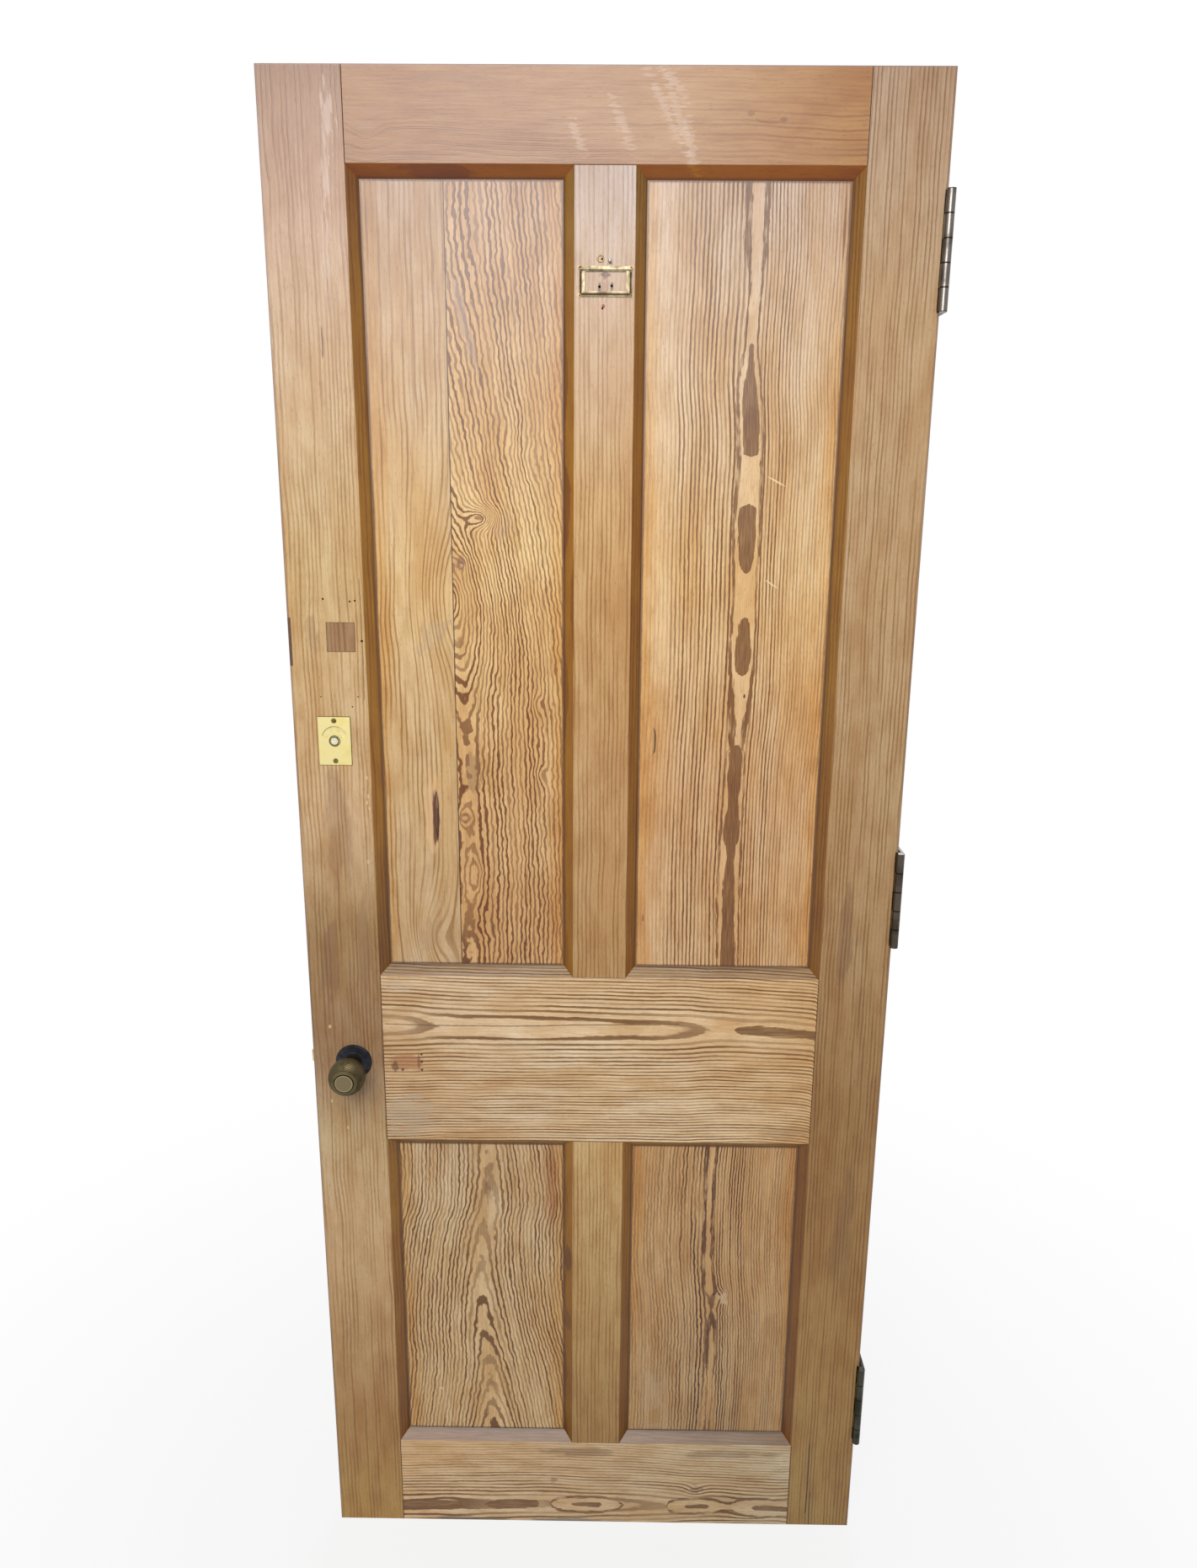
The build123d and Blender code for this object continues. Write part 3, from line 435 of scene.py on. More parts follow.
# %% Stiles
stile = board(
    "lock_stile",
    [(0, (189, 152, 85)), (180, (179, 140, 87)), (520, (210, 178, 137)), (640, (201, 176, 136)),
     (760, (164, 133, 101)), (950, (168, 139, 98)), (1100, (209, 178, 140)), (1400, (205, 176, 127)),
     (1650, (198, 171, 137)), (1800, (175, 141, 115)), (1950, (140, 101, 73))],
    late=(218, 205, 184), start=0.46, even=0.1, heart=-470, climb=0, depth=60, year=4.6, sway=2.0,
    curl=0.34, grit=0.09, seed=2.3,
)
stile.marks(
    (1080, -332, 90, 20, (124, 84, 58), 0.35, 0.9),
    (905, -352, 60, 14, (112, 74, 48), 0.4, 0.9),
    (930, -305, 80, 10, (120, 82, 52), 0.35, 0.9),
    (1330, -352, 26, 9, (120, 78, 46), 0.3, 0.9),
    (810, -357, 3, 2.4, (214, 190, 130), 0.8),
)
specks = ((1128, -292), (1120, -294), (1112, -291), (1152, -293), (1041, -296), (660, -340), (700, -360))
for along, across in specks:
    stile.mark(along, across, 3.2, 1.4, (216, 190, 140), 0.75)
# Three pale streaks high on the lock stile: painted glare of the window lamp on scuffed varnish.
stile.marks(
    (1900, -303, 30, 6, (214, 196, 186), 0.26, 2.4),
    (1840, -309, 34, 4, (212, 194, 184), 0.24, 2.4),
    (1762, -313, 40, 5, (210, 192, 178), 0.2, 2.4),
)
stile.crack([(1648, -322), (1665, -321.4), (1684, -322.4)], 1.0, (92, 58, 36))
stile.crack([(1250, -292), (1320, -291), (1400, -291.6)], 0.9, (104, 70, 44), 0.7)
splay_past(stile, stile.x, lock_arris, 1, deep_stain)

stile = board(
    "hinge_stile",
    [(0, (172, 139, 79)), (300, (171, 133, 76)), (700, (162, 126, 77)), (1000, (182, 151, 111)),
     (1400, (190, 160, 121)), (1700, (183, 152, 113)), (1950, (168, 141, 116))],
    late=(208, 193, 168), start=0.46, even=0.2, heart=470, climb=0, depth=60, year=4.2, sway=1.5, curl=0.26,
    grit=0.09, seed=5.1,
)
stile.marks(
    (940, 322, 70, 12, (104, 70, 40), 0.4, 1.0),
    (520, 345, 120, 16, (112, 76, 42), 0.35, 1.0),
)
stile.crack([(20, 316), (90, 317.4), (150, 316.6)], 1.3, (58, 36, 22))
stile.crack([(0, 323), (40, 322), (62, 323)], 1.0, (58, 36, 22))
splay_past(stile, stile.x, hinge_arris, -1, deep_stain)
print("two stiles")

# %% [markdown]
# The rails lie with their grain level. The lock rail and the bottom rail are flat-sawn from near the heart,
# so long tongues of dark late wood run along them. Their upper splays are ledges, where dust has settled.

# %% Rails
rail = board(
    "top_rail",
    [(-290, (145, 100, 53)), (-60, (153, 110, 69)), (60, (162, 122, 80)), (290, (162, 115, 59))],
    late=(220, 206, 184), grain="level", start=0.5, even=0.1,
    clear=[(1850, 1.0), (1890, 1.0), (1915, 0.45), (1950, 0.3)], heart=1800, climb=[(-300, 0), (300, 2)],
    depth=40, year=4.4, sway=3.0, curl=0.35, seed=7.7, knots=[(-262, 1880, 2.0, 16, 22)],
)
rail.marks(
    (160, 1903, 4.5, 3.4, (118, 76, 40), 0.7),
    (196, 1897, 4.5, 3.0, (112, 70, 36), 0.8),
)
rail.crack([(164, 1900), (178, 1894), (194, 1895)], 1.6, (120, 78, 42), 0.7)
rail.marks(
    (-262, 1886, 16, 9, (140, 98, 60), 0.5, 1.0),
    (205, 1929, 8, 4, (150, 108, 66), 0.5),
    (-170, 1938, 46, 7, (120, 84, 52), 0.35, 1.0),
)
# Pale strokes on the top rail: painted glare of the window lamp on scuffed varnish.
scuffs_and_glare = ((62, 1915, 50, -62), (84, 1892, 44, -70), (96, 1872, 30, -78), (-30, 1880, 20, -60),
          (20, 1890, 26, -66), (74, 1935, 26, -50))
for along, across, length, tilt in scuffs_and_glare:
    rail.mark(along, across, length, 5, (222, 202, 188), 0.16, ragged=2.6, tilt=tilt)

rail = board(
    "lock_rail", [(-290, (225, 192, 150)), (0, (245, 222, 188)), (290, (234, 198, 148))], grain="level",
    start=0.46, even=0.45, late=(144, 120, 84),
    heart=[(-290, 812), (-200, 812), (0, 811), (150, 811), (290, 803)],
    climb=[(-290, 0.2), (-245, 0.48), (-205, 0.95), (-100, 1.1), (60, 1.35), (112, 1.5), (150, 1.95),
           (175, 2.08), (290, 2.1)],
    depth=40, year=4.1, sway=1.4, curl=0.22, grit=0.08, seed=1.9,
    knots=[(235, 803, -0.4, 50, 10), (-90, 800, -0.35, 45, 7)],
    core=([(-290, -8), (165, -8), (185, 4), (210, 7), (250, 6), (290, 7)],
          [(-290, -12), (140, -12), (160, 5), (185, 9), (210, -6), (290, -6)], 0),
)
rail.marks(
    (-252, 679, 34, 28, (176, 158, 136), 0.42, 1.6),
    (-256, 760, 24, 13, (160, 104, 62), 0.6, 0.5),
    (-272, 752, 5, 9, (92, 48, 26), 0.7),
    (-240, 760, 2.2, 14, (112, 62, 36), 0.6),
)
nail_holes = ((-236, 771), (-236, 760), (-236, 748), (-262, 748))
for along, across in nail_holes:
    rail.mark(along, across, 2.2, 2.2, (58, 32, 18), 0.9, ragged=0.3)
rail.crack([(-285, 815), (-150, 813.4), (-20, 816.5), (110, 819)], 1.0, (96, 64, 38), 0.8)
rail.marks(
    (-262, 867, 20, 8, (190, 172, 150), 0.3, 1.6),
    (250, 660, 40, 10, (150, 120, 84), 0.35, 1.0),
)

rail = board(
    "bottom_rail", [(-290, (243, 213, 171)), (0, (227, 197, 155)), (290, (221, 203, 169))], grain="level",
    start=0.46, even=0.4, late=(140, 112, 74), clear=[(0, 1.0), (60, 1.0), (100, 0.7), (143, 0.4)],
    heart=[(-290, 26), (-100, 30), (100, 32), (290, 30)],
    climb=[(-290, 0.55), (-200, 0.62), (-150, 0.75), (-60, 0.85), (0, 1.2), (60, 1.5), (100, 1.75),
           (130, 2.1), (190, 2.6), (240, 3.0), (290, 2.7)],
    depth=30, year=4.4, sway=1.8, curl=0.3, grit=0.09, seed=9.4,
    knots=[(-220, 40, -0.5, 30, 10), (230, 20, -1.2, 24, 12), (150, 62, 1.4, 14, 12)],
    core=([(-290, 6), (-240, 9), (-200, 5), (-190, -3), (-160, 4), (-130, 9), (-100, 8), (-85, 6),
           (-72, -5), (-45, -5), (-25, 4), (5, 4), (20, -5), (120, -5), (140, 3), (165, 4), (180, -5),
           (225, -5), (240, 4), (270, 5), (290, 4)],
          [(-290, -12), (-80, -12), (-62, 4), (-20, 12), (25, 8), (45, -4), (60, -12), (100, -12), (112, 6),
           (150, 12), (185, 8), (200, 4), (215, 10), (255, 14), (290, 10)], 4.5),
)
rail.marks(
    (152, 62, 12, 7, (96, 66, 38), 0.55, 1.0),
    (-60, 76, 7, 5, (110, 78, 46), 0.5, 1.0),
    (-20, 128, 60, 9, (104, 76, 48), 0.4, 1.2),
    (200, 126, 70, 8, (110, 80, 50), 0.4, 1.2),
    (-190, 3, 60, 4, (96, 82, 62), 0.7, 1.2),
    (-30, 2, 70, 4, (126, 122, 112), 0.7, 1.2),
)
print("three rails")

# %% [markdown]
# The muntins are the short uprights between the panels, quarter-sawn like the stiles. Both have a splay on
# each side. The upper one has old nail holes and rust inside the card frame.

# %% Muntins
upper_shades = [(880, (191, 157, 110)), (1100, (197, 161, 117)), (1500, (200, 161, 105)),
                (1700, (193, 165, 136)), (1855, (178, 158, 152))]
lower_shades = [(140, (172, 137, 82)), (300, (188, 154, 101)), (645, (210, 179, 128))]
for node, shades, seed in (("upper_muntin", upper_shades, 4.2), ("lower_muntin", lower_shades, 6.6)):
    muntin = board(node, shades, late=(214, 198, 170), even=0.2, start=0.48,
                   heart=-110, climb=0, depth=40, year=4.9, sway=1.5, curl=0.3, grit=0.08, seed=seed)
    for side, out in ((muntin_arrises[0], -1), (muntin_arrises[1], 1)):
        splay_past(muntin, muntin.x, side, out, deep_stain)
muntin.marks(
    (452, -39, 26, 5, (70, 40, 20), 0.6, 1.0),
    (350, -39, 20, 5, (86, 50, 24), 0.5, 1.0),
)
muntin = boards["upper_muntin"]
nail_holes = ((1726, -4.2, 6.5, 1.9), (1727, 9.8, 5.5, 1.7))
for place in nail_holes:
    muntin.mark(*place, (44, 22, 18), 0.9, ragged=0.5)
muntin.marks(
    (1739, 2.5, 4, 6, (88, 44, 34), 0.8, 1.0),
    (1728, 3.0, 6, 9, (150, 100, 80), 0.45, 1.4),
    (1706, -1, 5, 8, (186, 130, 116), 0.5, 1.0),
)
print("two muntins")

# %% [markdown]
# The splays kept the old stain when the faces were scraped: orange under the top rail, where it is also made
# brighter as painted light bounced up from the floor, and grey dust on the ledges. A splay belongs to its
# board's solid, so the recipe finds it as what lies past the board's arris. A joint between two boards is a
# thin dark line at their common edge, and the outer arrises are greyed by wear.

# %% Splays and joints
outer_arris = colour(132, 106, 98)


def rub(wood, outer):
    """Greys the arrises, where the distances from an outer edge and from a face are both small."""
    arris = wood.maths("MAXIMUM", outer, -near_face - wood.maths("ABSOLUTE", wood.y)) + wood.rough * 0.8
    wood.tint(wood.ease(arris, 0.5, 2.6, 0.75, 0.0), outer_arris)


# The first colour is the old orange stain under the top rail, brightened with painted light bounced up from
# the floor.
top_stain_and_bounce, lock_dust, foot_dust = colour(240, 192, 22), colour(188, 183, 174), colour(150, 131, 110)
rail_splays = {
    "top_rail": ((top_arris, -1, top_stain_and_bounce),),
    "lock_rail": ((lock_rail_top, 1, lock_dust), (lock_rail_foot, -1, deep_stain)),
    "bottom_rail": ((foot_arris, 1, foot_dust),),
}
for node, edges in rail_splays.items():
    rail = boards[node]
    for edge, out, shade in edges:
        splay_past(rail, rail.z, edge, out, shade)
    joint = rail.maths("MINIMUM", rail.x - lock_arris, hinge_arris - rail.x) + rail.rough * 0.6
    rail.tint(rail.ease(joint, 0.1, 1.1, 0.85, 0.0), joint_dirt)
for node in ("lock_stile", "hinge_stile"):
    stile = boards[node]
    joint = stile.maths("MAXIMUM", lock_arris - stile.x, stile.x - hinge_arris) + stile.rough * 0.6
    beside_rail = stile.ease(stile.z, foot_arris - 1, foot_arris, 1, 0)
    for middle, reach in ((1901, 48), (763.5, 120)):
        beside_rail += stile.ease(stile.maths("ABSOLUTE", stile.z - middle), reach, reach + 1, 1, 0)
    inside = stile.maths("ABSOLUTE", joint)
    stile.tint(stile.ease(inside, 0.1, 0.9, 0.8, 0.0) * beside_rail, joint_dirt)
    outer = stile.maths("MINIMUM", leaf_half - stile.maths("ABSOLUTE", stile.x), leaf_top - stile.z)
    rub(stile, outer)
rub(boards["top_rail"], leaf_top - boards["top_rail"].z)
muntin_ends = {"upper_muntin": (top_arris, lock_rail_top), "lower_muntin": (lock_rail_foot, foot_arris)}
for node, ends in muntin_ends.items():
    muntin = boards[node]
    for end in ends:
        joint = muntin.maths("ABSOLUTE", muntin.z - end) + muntin.rough * 0.6
        muntin.tint(muntin.ease(joint, 0.3, 1.2, 0.8, 0.0), joint_dirt)
print("splays and joints")

# %% [markdown]
# The panels are flat-sawn boards, where the rings open into arches. The upper left one is two boards, cut
# beside a branch: its rings wind round an eye on the joint and a second one beside it.

# %% Upper panels
panel = board(
    "upper_left_panel_outer_board",
    [(885, (205, 180, 149)), (1400, (219, 187, 136)), (1650, (195, 165, 129)), (1852, (172, 144, 124))],
    late=(204, 186, 156), warm=(246, 234, 210), face=panel_face, even=0.1, start=0.5, heart=-120, climb=0,
    depth=30, year=5.8, sway=2.4, curl=0.4, grit=0.07, seed=3.3,
    knots=[(1375, -184, -5, 80, 42), (930, -215, -4, 50, 26), (880, -240, 2, 50, 20)],
)
panel.marks(
    (1330, -207, 24, 13, (164, 138, 112), 0.34, 2.2, 40),
    (935, -222, 28, 16, (160, 128, 98), 0.34, 2.2, 30),
    (1100, -214, 60, 12, (226, 186, 140), 0.5, 0.6),
    (1096, -209, 42, 5.6, (98, 56, 34), 0.95, 0.6),
    (1092, -207, 26, 1.8, (58, 30, 18), 0.85, 1.2),
    (1118, -208, 12, 1.4, (150, 108, 78), 0.6, 1.2),
    (1140, -208, 9, 2.2, (206, 160, 100), 0.8, 0.6),
    (1650, -221, 90, 1.6, (150, 112, 74), 0.6, 0.7),
)

panel = board(
    "upper_left_panel_inner_board",
    [(885, (219, 178, 128)), (1200, (228, 189, 134)), (1450, (237, 203, 143)), (1650, (213, 175, 125)),
     (1852, (188, 152, 122))],
    late=(138, 106, 64), face=panel_face, even=0.6, start=0.46,
    clear=[(-181, 1.0), (-90, 1.0), (-60, 0.8), (-45, 0.6)],
    heart=[(885, -168), (1230, -168), (1400, -184), (1560, -205), (1852, -235)],
    climb=[(885, 0.3), (1150, 1.2), (1250, 1.6), (1500, 2.4), (1852, 2.4)], depth=16, year=5.6, sway=1.6,
    curl=0.5, grit=0.1, ripple=0.55, seed=8.1,
    knots=[(1471, -143, -5.5, 12, 17), (1368, -192, -8.0, 100, 78), (1372, -184, -2.6, 21, 14),
           (1418, -168, -1.4, 10, 9), (1760, -182, 2.5, 110, 40), (1097, -172, -1.3, 12, 10),
           (1540, -85, 1.1, 22, 12), (1590, -110, -0.9, 26, 12), (1245, -78, 1.4, 11, 8),
           (1155, -74, 1.4, 11, 8), (1020, -160, -1.6, 26, 10), (960, -150, 1.0, 26, 12)],
)
panel.marks(
    (1690, -160, 70, 6, (150, 122, 104), 0.55, 0.9, -13),
    (1460, -118, 18, 9, (172, 138, 106), 0.36, 2.0, 30),
    (1418, -170, 11, 6, (124, 82, 54), 0.8, 0.5),
    (1415, -169, 2.6, 2.6, (190, 150, 104), 0.8, 0.5),
    (1471, -146, 3.4, 7, (128, 86, 58), 0.8, 0.6),
    (1097, -172, 8, 9, (142, 96, 58), 0.8, 0.4),
    (1097, -172, 3.4, 4.6, (196, 154, 106), 0.9, 0.4),
    (1160, -160, 26, 12, (140, 102, 66), 0.55, 1.6),
)
panel.crack([(1180, -152), (1220, -152.4), (1262, -151.6)], 0.7, (110, 78, 50), 0.6)
joint = panel.ease(panel.x + panel.rough * 0.5, -180.0, -179.3, 0.9, 0.0)
panel.tint(joint, colour(56, 34, 22))

panel = board(
    "upper_right_panel",
    [(885, (225, 187, 142)), (1150, (226, 186, 140)), (1400, (236, 201, 149)), (1650, (220, 190, 153)),
     (1852, (198, 171, 150))],
    late=(140, 111, 69), warm=(246, 234, 212), face=panel_face, start=0.44, even=0.5,
    clear=[(50, 0.25), (78, 0.35), (95, 0.9), (150, 1.0), (200, 1.0), (225, 0.7), (255, 0.5), (277, 0.6)],
    heart=[(890, 172), (1000, 170), (1080, 170), (1180, 172), (1250, 175), (1330, 176), (1480, 175),
           (1550, 176), (1650, 171), (1750, 174), (1852, 172)],
    climb=[(885, 0.1), (1150, 0.05), (1280, 0.0), (1500, 0.15), (1700, 0.2), (1852, 0.35)], depth=9,
    year=4.9, lean=0.22, sway=0.9, curl=0.18, grit=0.1, ripple=0.1, seed=0.6,
    core=([(885, 10), (905, 11), (960, 9), (1010, 9), (1040, 6), (1060, 7), (1090, 12), (1118, 8),
           (1150, 10), (1180, 10), (1196, 2), (1204, -8), (1272, -8), (1284, 4), (1308, 11), (1335, 9),
           (1355, 4), (1368, -8), (1398, -8), (1408, 3), (1430, 10), (1470, 12), (1488, 9), (1498, -8),
           (1538, -8), (1546, 9), (1580, 11), (1620, 9), (1640, 5), (1668, 3), (1682, -8), (1852, -8)],
          [(885, 14), (1150, 13), (1188, 12), (1196, 3), (1240, 8), (1280, 11), (1320, 15), (1400, 14),
           (1450, 15), (1520, 13), (1600, 14), (1650, 9), (1700, 6), (1760, 7), (1852, 8)],
          [(885, 3), (1165, 3), (1188, 1), (1199, 9), (1240, 8), (1290, 5), (1350, 3), (1400, 3), (1480, 5),
           (1560, 5), (1640, 3), (1700, 3), (1752, 4), (1768, 8), (1852, 9)]),
)
panel.mark(1258, 179, 3.2, 1.5, (60, 36, 20), 0.95, ragged=0.5)
panel.crack([(1183, 66.5), (1200, 69.5), (1217, 67)], 1.6, (78, 48, 30))
panel.marks(
    (1790, 271, 40, 1.7, (104, 60, 34), 0.75, 0.6),
    (1516, 207, 14, 1.2, (236, 206, 160), 0.75, 0.6, -62),
    (1396, 206, 11, 1.2, (236, 206, 160), 0.7, 0.6, -58),
    (963, 58, 5, 2, (128, 86, 54), 0.6),
)
print("three boards in the upper panels")

# %% [markdown]
# The lower panels are single boards. The left one is cut across the rings, which climb quickly along it and
# so stack up as arches. The right one runs close beside the heart, where a few bold lines and a knot show.

# %% Lower panels
panel = board(
    "lower_left_panel", [(140, (232, 200, 151)), (400, (227, 197, 151)), (645, (223, 195, 156))],
    late=(134, 106, 66), face=panel_face, start=0.46, even=0.45,
    heart=[(140, -150), (250, -152), (400, -163), (500, -158), (560, -150), (645, -155)],
    climb=[(140, 0.0), (400, 6.2), (645, 9.4)], depth=20, year=5.0, sway=1.6, curl=0.4, grit=0.11,
    ripple=0.4, seed=2.9,
)
panel.mark(560, -62, 90, 12, (196, 128, 60), 0.45, ragged=1.0, blend="MULTIPLY")
panel.marks(
    (480, -237, 3, 2, (232, 200, 160), 0.8),
    (225, -226, 3, 4, (230, 200, 160), 0.6),
    (555, -152, 26, 4, (112, 76, 48), 0.5, 1.4),
)
panel = board(
    "lower_right_panel", [(140, (204, 171, 125)), (400, (212, 173, 123)), (645, (215, 174, 122))],
    late=(110, 80, 48), face=panel_face, start=0.42, even=0.35,
    clear=[(50, 0.45), (110, 0.6), (135, 1.0), (195, 1.0), (220, 0.6), (277, 0.5)],
    heart=[(140, 166), (300, 168), (500, 158), (645, 164)], climb=[(140, 0.6), (645, 0.9)], depth=8,
    year=4.6, lean=0.25, sway=1.2, curl=0.4, grit=0.11, ripple=0.35, seed=6.1,
    knots=[(388, 182, -1.8, 14, 9)],
    core=(-8, [(140, -3), (200, 3), (300, 4), (380, -2), (400, 6), (450, 4), (560, 4), (645, 5)],
          [(140, 0), (240, 1), (300, 6), (345, 7), (375, 2), (402, 8), (430, 3), (480, 7), (520, 4),
           (560, 6), (610, 4), (645, 6)]),
)
panel.marks(
    (385, 182, 13, 8, (206, 176, 142), 0.7, 1.4),
    (225, 85, 46, 22, (190, 164, 134), 0.26, 1.8),
    (164, 90, 5, 32, (186, 160, 132), 0.3, 1.8),
)
print("two lower panels")

# %% [markdown]
# Where the panels meet the framing, the old stain was never scraped off: an amber band down the edges, and a
# dark line of painted shade in the corner.

# %% Panel edges
left = (lock_arris + splay, muntin_arrises[0] - splay)
right = (muntin_arrises[1] + splay, hinge_arris - splay)
upper = (lock_rail_top + splay, top_arris - splay)
lower = (foot_arris + splay, lock_rail_foot - splay)
far_off = 500
sights = {
    "upper_left_panel_outer_board": ((left[0], far_off), upper),
    "upper_left_panel_inner_board": ((-far_off, left[1]), upper),
    "upper_right_panel": (right, upper),
    "lower_left_panel": (left, lower),
    "lower_right_panel": (right, lower),
}
for node, (sides, ends) in sights.items():
    panel = boards[node]
    near = panel.maths("MINIMUM", panel.x - sides[0], sides[1] - panel.x)
    drift = panel.noise(panel.point(panel.z / 130, panel.x / 20, panel.seed), detail=2.0)
    amber = panel.ease(near + (drift - 0.5) * 40, 2, 24, 0.6, 0.0)
    panel.tint(amber, colour(242, 214, 142), "MULTIPLY")
    # A dark line of painted shade in the corner where the panel meets the splay.
    panel.rim(sides, ends, 3.2, 0.8)
print(len(boards), "boards")

# %% [markdown]
# The wedges show only as small strips on the two long edges. The patches are other pieces of the same wood.

# %% Wedges and patches
for node in ("top_rail_wedges", "lock_rail_wedges", "bottom_rail_wedges"):
    board(node, [(0, (186, 148, 106))], grain="level", heart=0, climb=0, depth=40, year=3.4, seed=1.1)
patch_trunk = {"heart": -300, "climb": 0, "depth": 30, "year": 3.0}
patch = board("square_patch", [(0, (158, 123, 86))], late=(220, 202, 182), seed=3.9, **patch_trunk)
low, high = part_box("square_patch")
patch.rim((low.x * 1000, high.x * 1000), (low.z * 1000, high.z * 1000), 1.0, 0.9)
board("edge_patch", [(0, (98, 68, 52))], late=(214, 196, 184), seed=4.9, **patch_trunk)
finished = {node: wood.finish() for node, wood in boards.items()}

# %% [markdown]
# The metals are all old and handled. One recipe gives a bright colour, a tarnish in soft patches and fine
# scratches that the roughness follows. What is particular to one piece is tinted over that: the grooves and
# worn rim of the knob, the dirt in the card frame's groove, painted shade between a hinge's knuckles.


# %% Metals
class Metal(Recipe):
    """A worn metal: bright where it is handled, tarnished in patches."""

    def __init__(self, name, bright, tarnish, rough, cover=(0.4, 0.7), patch=9.0):
        self.material = bpy.data.materials.new(name)
        super().__init__(self.material)
        self.x, self.y, self.z = x, y, z = self.place()
        patches = self.noise(self.point(x / patch, y / patch, z / patch), detail=4.0)
        scratches = self.noise(self.point(x * 2.2, y * 2.2, z / 9), detail=2.0)
        mask = self.ease(patches + scratches * 0.2 - 0.1, *cover)
        self.base = self.mix(mask, colour(*bright), colour(*tarnish))
        self.rough = mask * 0.2 + scratches * 0.1 + rough
        self.height = scratches + patches

    def tint(self, mask, shade, blend="MIX"):
        self.base = self.mix(mask, self.base, colour(*shade), blend)

    def band(self, value, low, high, soft=0.3):
        """1 between two values, with soft ends."""
        return self.ease(value, low - soft, low + soft) * self.ease(value, high - soft, high + soft, 1.0, 0.0)

    def round(self, across, height):
        """Distance from an axis that runs through the leaf."""
        over, up = self.x - across, self.z - height
        return self.maths("SQRT", over * over + up * up)

    def finish(self, metallic=1.0, bump=0.2):
        raised = self.add("ShaderNodeBump", {}, {"Strength": bump, "Distance": 0.0002, "Height": self.height})
        sockets = {"Base Color": self.base, "Metallic": metallic, "Roughness": self.rough, "Normal": raised}
        shader = self.add("ShaderNodeBsdfPrincipled", {}, sockets)
        self.add("ShaderNodeOutputMaterial", {}, {"Surface": shader})
        return self.material


metals = {
    "black_iron": Metal("black iron", (52, 54, 62), (26, 27, 31), 0.36).finish(0.7),
    "dark_steel": Metal("dark steel", (92, 84, 76), (60, 53, 47), 0.36).finish(),
    "worn_steel": Metal("worn steel", (150, 144, 138), (104, 96, 88), 0.3).finish(),
    "steel": Metal("steel", (168, 168, 170), (130, 128, 126), 0.3).finish(),
    "polished_brass": Metal("polished brass", (222, 204, 140), (190, 168, 104), 0.3).finish(),
    "tarnished_brass": Metal("tarnished brass", (150, 128, 84), (96, 78, 46), 0.36).finish(),
    "indicator_enamel": Metal("enamel", (228, 215, 152), (210, 194, 126), 0.35).finish(0.0),
    "aged_bronze": Metal("aged bronze", (104, 93, 66), (76, 67, 46), 0.4).finish(),
}
print(len(metals), "metals")

# %% [markdown]
# The knob is a bronze ball with rings turned into it and a flat disc on its front. The rings are real grooves
# in the solid. Here their floors are darkened with dirt, found by the angle round the middle of the ball, and
# the rim of the disc is brightened where palms rub it.

# %% The knob
knob_centre = (-327.0, 759.7)
knob_front, ball_middle = 81.5, 63.0
rings, first_ring, last_ring = 16, 45.0, 118.0
knob = Metal("knob bronze", (98, 88, 62), (74, 65, 45), 0.38, patch=14.0)
radius = knob.round(*knob_centre)
height = knob.maths("ABSOLUTE", knob.y)
front = knob.ease(height, knob_front - 0.7, knob_front - 0.3)
knob.tint(front, (124, 110, 84))
knob.tint(front * knob.band(radius, 10.6, 11.6, 0.4), (158, 143, 108))
knob.tint(knob.band(radius, 11.7, 12.9) * knob.ease(height, 79, 80), (30, 25, 17))
turn = knob.maths("ARCTAN2", radius, height - ball_middle) * (180 / pi)
ring = knob.maths("FRACT", (turn - first_ring) / ((last_ring - first_ring) / rings))
after_first = knob.ease(turn, first_ring, first_ring + 2)
before_last = knob.ease(turn, last_ring - 1, last_ring + 1, 1.0, 0.0)
knob.tint(knob.band(ring, 0.28, 0.72, 0.16) * (after_first * before_last) * 0.7, (42, 36, 25))
knob.tint(knob.ease(turn, last_ring + 1, 150, 0.0, 0.6), (52, 43, 32))
finished["front_knob"] = finished["back_knob"] = knob.finish(bump=0.12)
print("one knob finish for both sides")

# %% [markdown]
# The indicator's plate is the brightest metal on the door, because it is wiped most. Dirt stays round the two
# screws. The dark ring round the turning head and the dark edges of the plate, deepest along the top and the
# right, are painted shade. Each of these is a distance and a tint.

# %% The indicator
spindle = (-330.5, 1199.5)
screw_offset = 25.5
low, high = (corner * 1000 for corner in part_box("indicator_plate"))
plate = Metal("plate brass", (226, 212, 150), (204, 188, 120), 0.3, patch=22.0)
radius = plate.round(*spindle)
# Painted shade: a dark ring round the hole of the turning head.
plate.tint(plate.band(radius, 5.4, 7.2, 0.5), (96, 84, 44))
near_screws = [plate.round(spindle[0], spindle[1] + offset) for offset in (-screw_offset, screw_offset)]
screws = plate.maths("MINIMUM", *near_screws)
plate.tint(plate.ease(screws, 3.0, 4.0, 0.6, 0.0), (128, 112, 56))
# Painted shade along the plate's edges: deep on the top and right, lighter on the bottom and left.
rim = plate.maths("MINIMUM", high.z - plate.z, high.x - plate.x)
plate.tint(plate.ease(rim, 0.4, 1.0, 0.85, 0.0), (74, 62, 30))
far_rim = plate.maths("MINIMUM", plate.z - low.z, plate.x - low.x)
plate.tint(plate.ease(far_rim, 0.3, 0.9, 0.6, 0.0), (150, 130, 74))
finished["indicator_plate"] = plate.finish(0.9)
head = Metal("release head", (224, 218, 196), (186, 178, 146), 0.26)
# Painted shade on the rim of the release head, part of the same dark ring.
head.tint(head.ease(head.round(*spindle), 3.9, 4.8), (92, 84, 62))
finished["release_head"] = head.finish(0.9)
plate_screws = Metal("plate screws", (120, 110, 62), (66, 58, 30), 0.34, patch=3.0)
finished["indicator_plate_screws"] = plate_screws.finish()
print("a plate, a release head and two screws")
